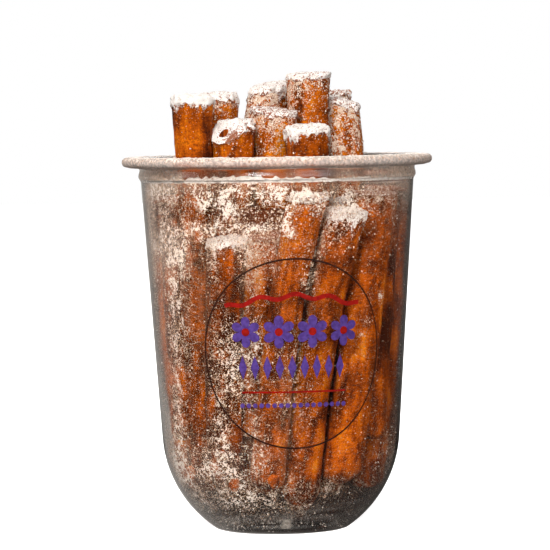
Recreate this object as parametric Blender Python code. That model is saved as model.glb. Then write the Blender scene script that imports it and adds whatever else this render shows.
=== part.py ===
"""Funnel cake fries standing in a clear plastic cup with a rolled lip and a round bottom.

The row frame has its origin at the centre of the cup's base, with +Z up and the front at -Y.
Lengths below are in millimetres, and MM turns them into Blender's metres.
"""

import math
from collections import namedtuple

import bmesh
import bpy
import numpy as np
from mathutils import Vector

MM = 0.001

# Cup: a cone that runs tangent into a ball-shaped bottom with a flat foot.
CUP_HEIGHT = 114.3
LIP_RADIUS = 47.5
WALL = 0.8
BALL_RADIUS = 36.5
BALL_CENTRE_Z = 30.6
SHOULDER_RADIUS = 41.75
SHOULDER_Z = 106.6
NECK_RADIUS = 42.4
NECK_BOTTOM_Z = 108.2
LIP_BOTTOM_Z = 111.0
LIP_TIP_Z = 112.9
FOOT_RADIUS = 19.3
FOOT_WIDTH = 2.8
PUSH_UP = 1.2
GATE_RADIUS = 1.5
GATE_DROP = 0.7
CUP_SEGMENTS = 56
BALL_STEPS = 8

# Fries: sticks with a slight bend that widen towards their sugared tops.
FRY_DIAMETER = 11.3
FRY_SIDES = 12
FRY_RINGS = 8
TOP_FLARE = 0.15
FLARE_LENGTH = 22.0
SUGAR_CAP = 1.5
SLANT_LENGTH = 8.0
WALL_GAP = 0.55
FRY_GAP = 0.1
UNEVENNESS = 0.025
SEED = 7

# The heap's core fills the gaps behind the fries that show.
CORE_SIDES = 28
CORE_BOTTOM_Z = 11.0
CORE_TOP_Z = 86.0
CORE_INSET = 7.6
CORE_RINGS = 7

# Settling: how often the fries are pushed apart, and how strongly a fry keeps to its line.
SETTLE_ROUNDS = 240
LEVEL_STEP = 8.0
LOWEST_LEVEL = 6.0
HOLD = 0.06

FRY_FIELDS = "name bottom top top_z low_z width hold slant bow"
Fry = namedtuple("Fry", FRY_FIELDS)

# bottom and top are the places of a fry's axis seen from above, at the base's height and at
# top_z. low_z is the least height of its lower end, and width is a share of FRY_DIAMETER.
# hold says how firmly it keeps its place, slant is the rise of its cut end to the right and to
# the back, and bow moves its middle to the right.
FRIES = [
    Fry("far_left", (-26.0, 3.0), (-33.0, 1.0), 89.0, 0.0, 1.00, 1.0, (0.10, 0.10), 0.0),
    Fry("left_tall", (-23.0, -11.0), (-24.9, -17.0), 133.5, 13.0, 1.00, 1.2, (0.00, 0.06), 0.0),
    Fry("left_short", (-18.0, -19.4), (-15.6, -30.5), 91.0, 0.0, 0.96, 1.0, (0.05, 0.15), 0.0),
    Fry("front_short", (-5.2, -26.0), (9.2, -32.5), 103.5, 14.8, 0.94, 1.2, (0.00, 0.25), -2.6),
    Fry("front_right", (6.0, -18.5), (20.4, -27.0), 99.0, 0.0, 1.02, 1.2, (-0.10, 0.15), -3.2),
    Fry("right_leaning", (14.5, -19.3), (29.5, -17.0), 104.0, 15.0, 1.06, 1.0, (-0.05, 0.10), 0.8),
    Fry("far_right", (26.0, -1.0), (34.0, -1.0), 101.0, 0.0, 1.02, 1.0, (-0.10, 0.00), 0.0),
    Fry("middle_left", (-11.0, -10.0), (-13.4, -17.4), 125.3, 11.0, 1.02, 1.0, (0.38, 0.50), 0.0),
    Fry("middle_front", (0.5, -9.0), (-1.4, -13.4), 129.3, 12.0, 1.08, 1.0, (-0.12, 0.10), 0.0),
    Fry("middle_right", (11.0, -7.0), (9.4, -22.0), 124.0, 11.0, 1.05, 1.0, (0.10, 0.22), 0.0),
    Fry("tallest", (5.5, 3.0), (10.5, -3.5), 139.9, 9.0, 1.05, 1.5, (0.03, 0.05), 0.0),
    Fry("behind_left", (-13.5, 1.0), (-18.7, 4.0), 134.2, 9.0, 1.02, 1.2, (0.05, 0.10), 0.0),
    Fry("behind_middle", (-12.0, 13.0), (-0.7, 10.5), 137.3, 9.0, 1.08, 1.5, (0.12, 0.12), -5.0),
    Fry("behind_right", (18.0, 6.0), (18.8, 5.5), 132.7, 11.0, 1.06, 1.2, (-0.26, 0.08), 0.0),
    Fry("back_right", (19.0, 18.0), (16.8, 20.5), 134.2, 13.0, 1.00, 1.2, (0.05, 0.00), 0.0),
    Fry("back_side", (25.0, 11.0), (32.0, 12.5), 96.0, 13.0, 1.00, 0.2, (0.10, 0.10), 0.0),
    Fry("back_middle", (7.0, 26.0), (5.0, 32.0), 112.0, 0.0, 1.00, 0.2, (0.00, -0.15), 0.0),
    Fry("back_centre", (3.0, 15.0), (4.5, 21.0), 126.0, 9.0, 1.02, 0.2, (0.10, -0.10), 0.0),
    Fry("back_left", (-7.0, 26.0), (-9.5, 31.0), 121.0, 0.0, 1.00, 0.2, (0.05, -0.10), 0.0),
    Fry("back_corner", (-20.0, 15.5), (-24.0, 20.0), 116.0, 13.0, 1.00, 0.2, (0.12, -0.10), 0.0),
    Fry("inner_middle", (-7.0, -1.0), (-6.5, -1.5), 110.0, 66.0, 0.98, 0.2, (-0.15, 0.10), 0.0),
    Fry("inner_right", (18.0, -9.0), (20.5, -9.0), 102.5, 66.0, 0.98, 0.2, (0.15, -0.10), 0.0),
    Fry("inner_back", (-12.0, 16.0), (-13.5, 18.5), 106.0, 66.0, 0.98, 0.2, (0.15, -0.10), 0.0),
]
HOLLOW_FRY = "middle_left"
HOLLOW_RADIUS = 1.6
HOLLOW_DEPTH = 3.0
HOLLOW_SHIFT = -1.6

COLOURS = {"cup": (0.86, 0.85, 0.83, 0.35), "fries": (0.56, 0.20, 0.035, 1.0)}
ROUGHNESS = {"cup": 0.08, "fries": 0.62}


def clear_scene():
    for obj in list(bpy.data.objects):
        bpy.data.objects.remove(obj, do_unlink=True)


def material(name):
    """A Principled material with the colour and roughness of the named part."""
    made = bpy.data.materials.new(name)
    made.use_nodes = True
    shader = made.node_tree.nodes["Principled BSDF"]
    shader.inputs["Base Color"].default_value = COLOURS[name][:3] + (1.0,)
    shader.inputs["Roughness"].default_value = ROUGHNESS[name]
    shader.inputs["Metallic"].default_value = 0.0
    shader.inputs["Alpha"].default_value = COLOURS[name][3]
    return made


def add_object(name, bm, made):
    mesh = bpy.data.meshes.new(name)
    bm.to_mesh(mesh)
    bm.free()
    mesh.materials.append(made)
    obj = bpy.data.objects.new(name, mesh)
    bpy.context.scene.collection.objects.link(obj)
    return obj


def tangent_point(radius):
    """Where the cone of the wall meets a ball of this radius: (distance from the axis, height)."""
    across = SHOULDER_RADIUS + radius - BALL_RADIUS
    up = SHOULDER_Z - BALL_CENTRE_Z
    distance = math.hypot(across, up)
    turn = math.atan2(up, across) - math.acos(radius / distance)
    return radius * math.cos(turn), BALL_CENTRE_Z + radius * math.sin(turn)


def ball_arc(radius, start_r):
    """Points up the ball, from start_r out to where the wall takes over."""
    end_r, end_z = tangent_point(radius)
    low = math.acos(start_r / radius)
    high = math.asin((BALL_CENTRE_Z - end_z) / radius)
    turns = [low + (high - low) * i / BALL_STEPS for i in range(BALL_STEPS + 1)]
    return [(radius * math.cos(a), BALL_CENTRE_Z - radius * math.sin(a)) for a in turns]


def outer_profile():
    """The outside from the gate under the base, up the wall and round the lip to its inner edge."""
    recess = FOOT_RADIUS - FOOT_WIDTH
    return [
        (0.0, PUSH_UP - GATE_DROP),
        (GATE_RADIUS * 0.8, PUSH_UP - GATE_DROP),
        (GATE_RADIUS, PUSH_UP),
        (recess - 1.0, PUSH_UP),
        (recess, 0.0),
        (FOOT_RADIUS, 0.0),
        *ball_arc(BALL_RADIUS, FOOT_RADIUS + 1.1),
        (SHOULDER_RADIUS, SHOULDER_Z),
        (SHOULDER_RADIUS + 0.25, SHOULDER_Z + 0.8),
        (NECK_RADIUS, NECK_BOTTOM_Z - 0.5),
        (NECK_RADIUS + 0.1, NECK_BOTTOM_Z + 0.4),
        (NECK_RADIUS, LIP_BOTTOM_Z - 0.5),
        (NECK_RADIUS + 0.5, LIP_BOTTOM_Z),
        (LIP_RADIUS - 1.8, LIP_BOTTOM_Z + 0.4),
        (LIP_RADIUS - 0.5, LIP_TIP_Z - 0.9),
        (LIP_RADIUS, LIP_TIP_Z),
        (LIP_RADIUS - 0.5, LIP_TIP_Z + 0.9),
        (LIP_RADIUS - 1.6, CUP_HEIGHT - 0.1),
        (LIP_RADIUS - 4.9, CUP_HEIGHT),
        (NECK_RADIUS - WALL + 0.2, CUP_HEIGHT - 0.4),
    ]


def inner_profile():
    """The inside from just under the lip, down over the ledge and the wall to the floor's centre."""
    recess = FOOT_RADIUS - FOOT_WIDTH
    floor_z = PUSH_UP + WALL
    arc = ball_arc(BALL_RADIUS - WALL, FOOT_RADIUS + 0.3)
    return [
        (NECK_RADIUS - WALL, CUP_HEIGHT - 1.1),
        (NECK_RADIUS - WALL, NECK_BOTTOM_Z + 0.2),
        (SHOULDER_RADIUS - WALL + 0.15, SHOULDER_Z + 0.7),
        (SHOULDER_RADIUS - WALL, SHOULDER_Z - 0.2),
        *reversed(arc),
        (FOOT_RADIUS - 0.8, WALL),
        (recess + 0.6, WALL),
        (recess - 0.8, floor_z),
        (0.0, floor_z),
    ]


def make_cup(made):
    """The cup as one thin-walled body turned about its axis."""
    bm = bmesh.new()
    points = [bm.verts.new(Vector((r, 0.0, z)) * MM) for r, z in outer_profile() + inner_profile()]
    edges = [bm.edges.new(pair) for pair in zip(points, points[1:])]
    bmesh.ops.spin(
        bm,
        geom=points + edges,
        cent=(0.0, 0.0, 0.0),
        axis=(0.0, 0.0, 1.0),
        angle=math.tau,
        steps=CUP_SEGMENTS,
        use_merge=True,
    )
    bmesh.ops.remove_doubles(bm, verts=bm.verts, dist=1e-7)
    bmesh.ops.recalc_face_normals(bm, faces=bm.faces)
    cup = add_object("cup", bm, made)
    cup.data.shade_smooth()
    cup.data.set_sharp_from_angle(angle=math.radians(35.0))
    return cup


def room_at(z):
    """Radius of the free space inside the cup at this height, which may be a list of heights."""
    z = np.asarray(z, float)
    ball = BALL_RADIUS - WALL
    join_r, join_z = tangent_point(ball)
    low = np.sqrt(np.clip(ball**2 - (BALL_CENTRE_Z - z) ** 2, 0.0, None))
    slope = (SHOULDER_RADIUS - WALL - join_r) / (SHOULDER_Z - join_z)
    return np.where(z < join_z, low, np.minimum(join_r + slope * (z - join_z), SHOULDER_RADIUS - WALL))


def radius_at(fry, z):
    """The fry's radius at this height, which grows towards its top."""
    rise = np.clip(1.0 - (fry.top_z - np.asarray(z, float)) / FLARE_LENGTH, 0.0, 1.0)
    return FRY_DIAMETER * fry.width / 2 * (1.0 + TOP_FLARE * rise)


def bottom_height(fry, path):
    """The lowest height at which the fry's round end fits inside the ball-shaped bottom."""
    z = max(PUSH_UP + WALL + WALL_GAP, fry.low_z)
    while np.hypot(*path(z)) + radius_at(fry, z) * 0.9 > room_at(z) - WALL_GAP:
        z += 0.1
    return z


def wanted_path(fry):
    """The line from bottom to top with its middle moved sideways."""
    bottom, top = np.array(fry.bottom), np.array(fry.top)

    def place(z):
        share = np.clip(z / fry.top_z, 0.0, 1.0)
        return bottom + (top - bottom) * share + np.array((fry.bow * 4 * share * (1 - share), 0.0))

    return place


def bent_path(heights, places):
    """The smoothest gentle bend through a fry's settled places."""
    curve = np.polyfit(heights, places, 2)
    return lambda z: np.array([np.polyval(curve[:, 0], z), np.polyval(curve[:, 1], z)])


def settle():
    """Pushes the fries apart and off the wall, and gives {name: (path, bottom height)}."""
    levels = np.arange(LOWEST_LEVEL, max(f.top_z for f in FRIES), LEVEL_STEP)
    radii = np.array([radius_at(f, levels) for f in FRIES])
    paths = [wanted_path(f) for f in FRIES]
    bottoms = [bottom_height(f, p) for f, p in zip(FRIES, paths)]
    wanted = np.array([[p(z) for z in levels] for p in paths])
    lowest = [b - LEVEL_STEP / 2 for b in bottoms]
    here = np.array([(levels > low) & (levels < f.top_z) for f, low in zip(FRIES, lowest)])
    hold = np.array([HOLD * f.hold for f in FRIES])[:, None, None]
    places = wanted.copy()
    for _ in range(SETTLE_ROUNDS):
        places += hold * (wanted - places)
        apart = places[:, None] - places[None, :]
        distance = np.linalg.norm(apart, axis=3) + np.eye(len(FRIES))[:, :, None] * 1e3
        need = radii[:, None] + radii[None, :] + FRY_GAP
        both = here[:, None] & here[None, :]
        push = np.where(both, np.clip(need - distance, 0.0, None), 0.0) / 2
        places += (apart / distance[..., None] * push[..., None]).sum(axis=1) * 0.7
        reach = np.linalg.norm(places, axis=2)
        room = room_at(levels)[None, :] - radii - WALL_GAP
        places *= np.minimum(1.0, np.clip(room, 1.0, None) / np.maximum(reach, 1e-6))[..., None]
        for i in range(len(FRIES)):
            path = bent_path(levels[here[i]], places[i][here[i]])
            places[i] = [path(z) for z in levels]
    settled = {}
    for i, fry in enumerate(FRIES):
        path = bent_path(levels[here[i]], places[i][here[i]])
        settled[fry.name] = (path, bottom_height(fry, path))
    return settled


def kept_inside(places, z):
    """Pulls points of a fry's skin in where they would come too near the cup."""
    reach = np.hypot(places[:, 0], places[:, 1])
    limit = room_at(z) - WALL_GAP
    return places * np.minimum(1.0, limit / np.maximum(reach, 1e-6))[:, None]


def fry_profile(fry, bottom):
    """(height, share of the radius there) from the fry's lower end up over its sugar cap."""
    top = fry.top_z
    body = np.linspace(bottom + 2.0, top - SUGAR_CAP - 1.5, FRY_RINGS)
    ends = [(top - SUGAR_CAP, 1.0), (top - 0.5, 0.86), (top, 0.58)]
    return [(bottom, 0.72), (bottom + 0.6, 0.93), *((z, 1.0) for z in body), *ends]


def fry_mesh(fry, path, bottom, rng):
    """One fry as a bmesh: rings of points about its bent axis, and a domed, slanted top."""
    bm = bmesh.new()
    radius = float(radius_at(fry, fry.top_z))
    turn = np.arange(FRY_SIDES) * math.tau / FRY_SIDES + rng.uniform(0.0, math.tau)
    around = np.stack([np.cos(turn), np.sin(turn)], axis=1)
    rings = []
    for z, share in fry_profile(fry, bottom):
        uneven = 1.0 + rng.uniform(-UNEVENNESS, UNEVENNESS, FRY_SIDES)
        offsets = around * (radius_at(fry, z) * share * uneven)[:, None]
        near_top = max(0.0, 1.0 - (fry.top_z - z) / SLANT_LENGTH)
        heights = z + near_top * (offsets @ np.array(fry.slant) - radius * np.hypot(*fry.slant) / 2)
        places = kept_inside(path(z) + offsets, heights)
        rings.append([bm.verts.new(Vector((*p, h)) * MM) for p, h in zip(places, heights)])
    for low, high in zip(rings, rings[1:]):
        for i in range(FRY_SIDES):
            j = (i + 1) % FRY_SIDES
            bm.faces.new((low[i], low[j], high[j], high[i]))
    bm.faces.new(list(reversed(rings[0])))
    if fry.name == HOLLOW_FRY:
        sink_hollow(bm, rings[-1])
    else:
        bm.faces.new(rings[-1])
    bmesh.ops.recalc_face_normals(bm, faces=bm.faces)
    return bm


def sink_hollow(bm, rim):
    """Closes a fry's top with a small round hollow, where the dough tube stayed open."""
    middle = sum((v.co for v in rim), Vector()) / len(rim)
    reach = max((v.co - middle).length for v in rim)
    shift = (rim_point(rim, middle) - middle) * (HOLLOW_SHIFT * MM / reach)
    share = HOLLOW_RADIUS * MM / reach
    mouth = [bm.verts.new(middle + shift + (v.co - middle) * share) for v in rim]
    floor = bm.verts.new(middle + shift - Vector((0.0, 0.0, HOLLOW_DEPTH * MM)))
    for i in range(len(rim)):
        j = (i + 1) % len(rim)
        bm.faces.new((rim[i], rim[j], mouth[j], mouth[i]))
        bm.faces.new((mouth[i], mouth[j], floor))


def rim_point(rim, middle):
    """The place of the rim's vertex that lies farthest to the right."""
    return max((v.co for v in rim), key=lambda place: place.x - middle.x).copy()


def core_mesh():
    """The bundle's inner mass: a turned body that follows the cup at the depth of a fry's axis."""
    bm = bmesh.new()
    heights = np.linspace(CORE_BOTTOM_Z, CORE_TOP_Z, CORE_RINGS)
    outline = [(float(room_at(z)) - CORE_INSET, float(z)) for z in heights]
    profile = [(0.0, CORE_BOTTOM_Z - 2.0), *outline, (0.0, CORE_TOP_Z + 3.0)]
    points = [bm.verts.new(Vector((r, 0.0, z)) * MM) for r, z in profile]
    edges = [bm.edges.new(pair) for pair in zip(points, points[1:])]
    bmesh.ops.spin(
        bm,
        geom=points + edges,
        cent=(0.0, 0.0, 0.0),
        axis=(0.0, 0.0, 1.0),
        angle=math.tau,
        steps=CORE_SIDES,
        use_merge=True,
    )
    bmesh.ops.remove_doubles(bm, verts=bm.verts, dist=1e-7)
    bmesh.ops.recalc_face_normals(bm, faces=bm.faces)
    return bm


def make_fries(made):
    """The heap: the core with every fry fused on, as one closed body."""
    rng = np.random.default_rng(SEED)
    bundle = bpy.data.collections.new("bundle")
    bpy.context.scene.collection.children.link(bundle)
    for fry in FRIES:
        path, bottom = SETTLED[fry.name]
        stick = add_object(fry.name, fry_mesh(fry, path, bottom, rng), made)
        bpy.context.scene.collection.objects.unlink(stick)
        bundle.objects.link(stick)
    heap = add_object("fries", core_mesh(), made)
    join = heap.modifiers.new("join", "BOOLEAN")
    join.operation = "UNION"
    join.operand_type = "COLLECTION"
    join.collection = bundle
    join.solver = "EXACT"
    graph = bpy.context.evaluated_depsgraph_get()
    joined = bpy.data.meshes.new_from_object(heap.evaluated_get(graph))
    heap.modifiers.clear()
    heap.data = joined
    for stick in list(bundle.objects):
        bpy.data.objects.remove(stick, do_unlink=True)
    bpy.data.collections.remove(bundle)
    return heap


clear_scene()
SETTLED = settle()
make_cup(material("cup"))
make_fries(material("fries"))
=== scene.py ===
import math
from collections import namedtuple

import bpy
import numpy as np
from mathutils import Matrix, Vector


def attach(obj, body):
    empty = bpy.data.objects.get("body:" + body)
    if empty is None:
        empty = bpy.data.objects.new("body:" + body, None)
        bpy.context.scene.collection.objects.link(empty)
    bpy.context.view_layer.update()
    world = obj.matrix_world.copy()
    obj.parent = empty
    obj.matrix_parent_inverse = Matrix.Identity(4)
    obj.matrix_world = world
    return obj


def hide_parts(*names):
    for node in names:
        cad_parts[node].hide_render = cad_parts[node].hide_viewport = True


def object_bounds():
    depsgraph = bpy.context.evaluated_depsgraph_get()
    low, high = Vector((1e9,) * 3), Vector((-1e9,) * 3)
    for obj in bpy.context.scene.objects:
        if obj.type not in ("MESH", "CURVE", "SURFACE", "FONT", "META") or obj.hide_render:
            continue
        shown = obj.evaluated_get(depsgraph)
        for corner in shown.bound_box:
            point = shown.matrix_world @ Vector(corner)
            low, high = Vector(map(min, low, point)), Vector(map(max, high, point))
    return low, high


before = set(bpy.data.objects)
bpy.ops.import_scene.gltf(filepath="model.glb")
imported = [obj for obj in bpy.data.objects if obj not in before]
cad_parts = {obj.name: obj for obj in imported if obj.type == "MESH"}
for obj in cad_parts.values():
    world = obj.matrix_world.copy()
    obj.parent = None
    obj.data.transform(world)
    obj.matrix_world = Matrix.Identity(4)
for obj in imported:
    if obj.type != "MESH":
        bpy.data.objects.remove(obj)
CAD_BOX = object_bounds()

# All lengths are in millimetres unless a name says otherwise. The front is at -Y.
MM = 0.001
SEED = 11
CAD_BOX_TOP = float(CAD_BOX[1][2]) / MM

# Camera
EYE = (-1.1, -1106.0, 128.0)
AIM = (-1.1, 0.0, 77.7)
ROLL_DEG = -0.87
LENS = 236.0
SENSOR = 36.0

# Lights: name, place and size in metres, power in watts, colour
LIGHTS_AIM = (0.0, 0.0, 0.09)
LIGHTS = [
    ("key", (-0.40, -1.45, 0.85), (0.5, 0.5), 24.0, (1.0, 0.985, 0.97)),
    ("fill", (0.80, -1.35, 0.40), (0.8, 0.8), 11.5, (1.0, 1.0, 1.0)),
    ("top", (-0.30, -0.40, 1.30), (0.6, 0.6), 9.0, (1.0, 1.0, 1.0)),
    ("left_side", (-1.5, -0.25, 0.45), (0.5, 0.9), 5.0, (1.0, 0.97, 0.93)),
    ("back", (0.3, 1.5, 0.7), (1.0, 0.8), 5.0, (1.0, 1.0, 1.0)),
]
# Colour of the pale surroundings behind the object where the cup mirrors them
MIRRORED = (0.82, 0.77, 0.71, 1.0)
FLOOR_RINGS = (0.1, 200.0, 1000.0, 4000.0)
FLOOR_SIDES = 96

# Cup, with the same measures as the CAD
CUP_HEIGHT = 114.3
LIP_RADIUS = 47.5
WALL = 0.8
BALL_RADIUS = 36.5
BALL_CENTRE_Z = 30.6
SHOULDER_RADIUS = 41.75
SHOULDER_Z = 106.6
NECK_RADIUS = 42.4
NECK_BOTTOM_Z = 108.2
LIP_BOTTOM_Z = 111.0
LIP_TIP_Z = 112.9
LIP_ROUNDING = 1.4
LIP_ARC_DEG = (-62.0, 82.0)
LIP_ARC_POINTS = 9
FOOT_RADIUS = 19.3
FOOT_WIDTH = 2.8
PUSH_UP = 1.2
GATE_RADIUS = 1.5
GATE_DROP = 0.7
CUP_SEGMENTS = 192
CUP_SHARP_DEG = 50.0
BALL_STEPS = 22
WALL_STEPS = 10
# The rings next to an axis are this small, so that no points of a grid coincide
TINY = 0.001

# Fries, with the same measures as the CAD
FRY_DIAMETER = 11.3
TOP_FLARE = 0.15
FLARE_LENGTH = 22.0
SLANT_LENGTH = 8.0
WALL_GAP = 0.55
FRY_GAP = 0.1
SETTLE_ROUNDS = 240
LEVEL_STEP = 8.0
LOWEST_LEVEL = 6.0
HOLD = 0.06

# How finely the fries are made, and the rise and radius share of the rows at their two ends
FRY_SIDES = 52
FRY_ROWS = 58
FOOT_ROWS = [(0.0, 0.0), (0.12, 0.38), (0.5, 0.68), (1.2, 0.86), (2.2, 0.96)]
HEAD_ROWS = [(-0.7, 0.975), (-0.25, 0.91)]
BODY_ENDS = (3.2, -1.3)
FACE_SHARES = (0.8, 0.6, 0.4, 0.2)
FACE_SAG = 0.25
# Lower ends that narrow: over this length, down to this share
FOOT_TAPERS = {"front_right": (9.0, 0.12), "left_short": (6.0, 0.5), "right_leaning": (5.0, 0.6)}
FOOT_SLANT = 0.22
FOOT_SLANT_LENGTH = 8.0
# Relief of the dough: share of its radius, and length of the bumps
RIDGES = (0.016, 3.4)
LUMPS = (0.018, 8.5)
DENTS = (0.009, 3.0)
OVAL, FIVE_SIDED = 0.022, 0.016
# How fast the relief changes up a fry, as a share of how fast it does round it
RIDGE_STRETCH, LUMP_STRETCH = 0.14, 0.55
# Each fry takes its noise from another place, up to this far off
STICK_SHIFT = (-200.0, 200.0)
# How far dough, grains and caps stay off the wall
DOUGH_GAP, GRAIN_GAP, CAP_GAP = 0.35, 0.45, 0.2

# How finely the sugar caps are made
CAP_SIDES = 76
CAP_FACE_ROWS = 10
CAP_EDGE_ROWS = 5
CAP_SIDE_ROWS = 10
CAP_ROUNDING = 1.0
CAP_EDGE_SHARE = 0.88

FRY_FIELDS = "name bottom top top_z low_z width hold slant bow tint dust cap drip bare"
Fry = namedtuple("Fry", FRY_FIELDS)

# As in the CAD, and then: tint from 0 for dark red-brown to 1 for bright orange-brown, where
# the low and negative tints of fries deep in the cup are partly painted shade, dust from 0 to 1
# for the sugar on the sides, cap for the sugar's thickness on top, drip for how far it hangs
# down the sides and bare for how much dough shows through it.
FRIES = [
    Fry("far_left", (-26, 3), (-33, 1), 89, 0, 1, 1, (0.1, 0.1), 0,
        0.4, 0.08, 1.2, 1.4, 0.4),
    Fry("left_tall", (-23, -11), (-24.9, -17), 133.5, 13, 1, 1.2, (0, 0.06), 0,
        0.34, 0.006, 1.7, 2.2, 0),
    Fry("left_short", (-18, -19.4), (-15.6, -30.5), 91, 0, 0.96, 1, (0.05, 0.15), 0,
        -0.44, 0.06, 1.5, 2, 0.1),
    Fry("front_short", (-5.2, -26), (9.2, -32.5), 103.5, 14.8, 0.94, 1.2, (0, 0.25), -2.6,
        0.2, 0.09, 0.8, 0.6, 0.3),
    Fry("front_right", (6, -18.5), (20.4, -27), 99, 0, 1.02, 1.2, (-0.1, 0.15), -3.2,
        0.24, 0.11, 1.6, 3, 0.1),
    Fry("right_leaning", (14.5, -19.3), (29.5, -17), 104, 15, 1.06, 1, (-0.05, 0.1), 0.8,
        0.28, 0.1, 0.5, 0.5, 0.75),
    Fry("far_right", (26, -1), (34, -1), 101, 0, 1.02, 1, (-0.1, 0), 0,
        0.24, 0.05, 0.5, 0.5, 0.9),
    Fry("middle_left", (-11, -10), (-13.4, -17.4), 125.8, 11, 1.02, 1, (0.05, 0.12), 0,
        0.22, 0.06, 1.2, 1.6, 0.08),
    Fry("middle_front", (0.5, -9), (-1.4, -13.4), 129.3, 12, 1.08, 1, (-0.12, 0.1), 0,
        0.6, 0.17, 1.3, 1.8, 0.45),
    Fry("middle_right", (11, -7), (9.4, -22), 124, 11, 1.05, 1, (0.06, 0.13), 0,
        0.12, 0.03, 1.6, 2.6, 0.1),
    Fry("tallest", (5.5, 3), (10.5, -3.5), 139.9, 9, 1.05, 1.5, (0.03, 0.05), 0,
        0.34, 0.18, 1.2, 1.2, 0.15),
    Fry("behind_left", (-13.5, 1), (-18.7, 4), 134.2, 9, 1.02, 1.2, (0.05, 0.1), 0,
        0.52, 0.13, 1.5, 1.8, 0.1),
    Fry("behind_middle", (-12, 13), (-0.7, 10.5), 137.3, 9, 1.08, 1.5, (0.12, 0.12), -5,
        0.6, 0.4, 2, 2.8, 0.12),
    Fry("behind_right", (18, 6), (18.8, 5.5), 132.7, 11, 1.06, 1.2, (-0.26, 0.08), 0,
        0.6, 0.6, 1.3, 1.8, 0.3),
    Fry("back_right", (19, 18), (16.8, 20.5), 134.2, 13, 1, 1.2, (0.05, 0), 0,
        0.1, 0.3, 1.1, 1.5, 0.5),
    Fry("back_side", (25, 11), (32, 12.5), 96, 13, 1, 0.2, (0.1, 0.1), 0,
        0.36, 0.2, 1.4, 2, 0.1),
    Fry("back_middle", (7, 26), (5, 32), 112, 0, 1, 0.2, (0, -0.15), 0,
        0.46, 0.16, 1.5, 2.2, 0.1),
    Fry("back_centre", (3, 15), (4.5, 21), 126, 9, 1.02, 0.2, (0.1, -0.1), 0,
        0.34, 0.24, 1.4, 2, 0.2),
    Fry("back_left", (-7, 26), (-9.5, 31), 121, 0, 1, 0.2, (0.05, -0.1), 0,
        0.5, 0.14, 1.5, 2.2, 0.1),
    Fry("back_corner", (-20, 15.5), (-24, 20), 116, 13, 1, 0.2, (0.12, -0.1), 0,
        0.4, 0.2, 1.5, 2.4, 0.2),
    Fry("inner_middle", (-7, -1), (-6.5, -1.5), 110, 66, 0.98, 0.2, (-0.15, 0.1), 0,
        0.25, 0.3, 1.5, 2.2, 0.2),
    Fry("inner_right", (18, -9), (20.5, -9), 102.5, 66, 0.98, 0.2, (0.15, -0.1), 0,
        0.28, 0.3, 1.5, 2.2, 0.2),
    Fry("inner_back", (-12, 16), (-13.5, 18.5), 106, 66, 0.98, 0.2, (0.15, -0.1), 0,
        0.25, 0.3, 1.5, 2.2, 0.2),
]
# Short broken pieces behind the front row, which stay where they are put
FILLERS = [
    Fry("gap_left", (-9.6, -15.5), (-4.4, -27.4), 92, 30, 0.98, 1, (0.1, 0.2), 0,
        0.3, 0.24, 0.5, 0.5, 0.9),
    Fry("gap_right", (3, -15), (14.5, -20.5), 88, 30, 0.98, 1, (-0.1, 0.15), 0,
        0.14, 0.2, 1.4, 1.8, 0.2),
    Fry("gap_far_left", (-26, -12), (-31.3, -9.5), 103.5, 28, 0.92, 1, (0.1, 0.15), 0,
        -0.24, 0.06, 0.6, 0.6, 0.8),
    Fry("gap_far_right", (24, -12), (32.3, -9), 105.5, 28, 0.88, 1, (-0.1, 0.1), 0,
        -0.12, 0.05, 0.5, 0.5, 0.9),
]
ALL_FRIES = FRIES + FILLERS
# How much brighter the upper ends of some short fries are, or darker where below 0
TINT_TOPS = {"front_short": 0.40, "front_right": -0.26}
# Painted shade: how much darker the tall fries are where they stand inside the cup, and below
# which height
TALL_Z = 118.0
INNER_SHADE = 0.42
INNER_SHADES = {"left_tall": 0.50, "behind_left": 0.60, "behind_middle": 0.60}
INNER_SHADE_Z = (99.0, 108.5)
# How far the thick sugar under a cap reaches down some fries
THICK_REACH = {"tallest": 4.6, "middle_front": 3.4, "behind_left": 3.0, "left_tall": 2.2}
# How much darker the lower ends are as painted shade, and how much more sugared, and between
# which heights
FOOT_SHADE = 0.50
FOOT_DUST = 0.16
FOOT_SHADE_Z = (12.0, 22.0)
# A fry that bends aside by this much, most at this height, over this length
SWAY = {"behind_right": ((1.9, 0.0), 114.0, 11.0)}
HOLLOW_FRY = "middle_left"
HOLLOW_RADII = (1.5, 1.75)
HOLLOW_SHIFT = (-3.0, -2.3)
HOLLOW_TINT, HOLLOW_DUST = 0.30, 0.06
# Rows down the hollow: share of its mouth, and depth
HOLLOW_STEPS = ((0.95, 0.8), (0.9, 1.8), (0.75, 2.8), (0.02, 3.6))
# The end with the hollow is broken off steeply towards this way, from this far off its axis
BREAK_WAY = (-0.66, -0.75)
BREAK_START = 0.6
BREAK_SLOPE = 0.95
# Where dough shows on the broken end, from its axis, and how wide that place is
BREAK_BARE = (-0.4, -6.8)
BREAK_BARE_WIDTH = 2.2

# The dark mass between the fries, which stands for the shade there: painted shade
CORE_Z = (12.5, 98.0)
CORE_INSET = 15.0
CORE_SIDES = 120
CORE_ROWS = 90

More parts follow.
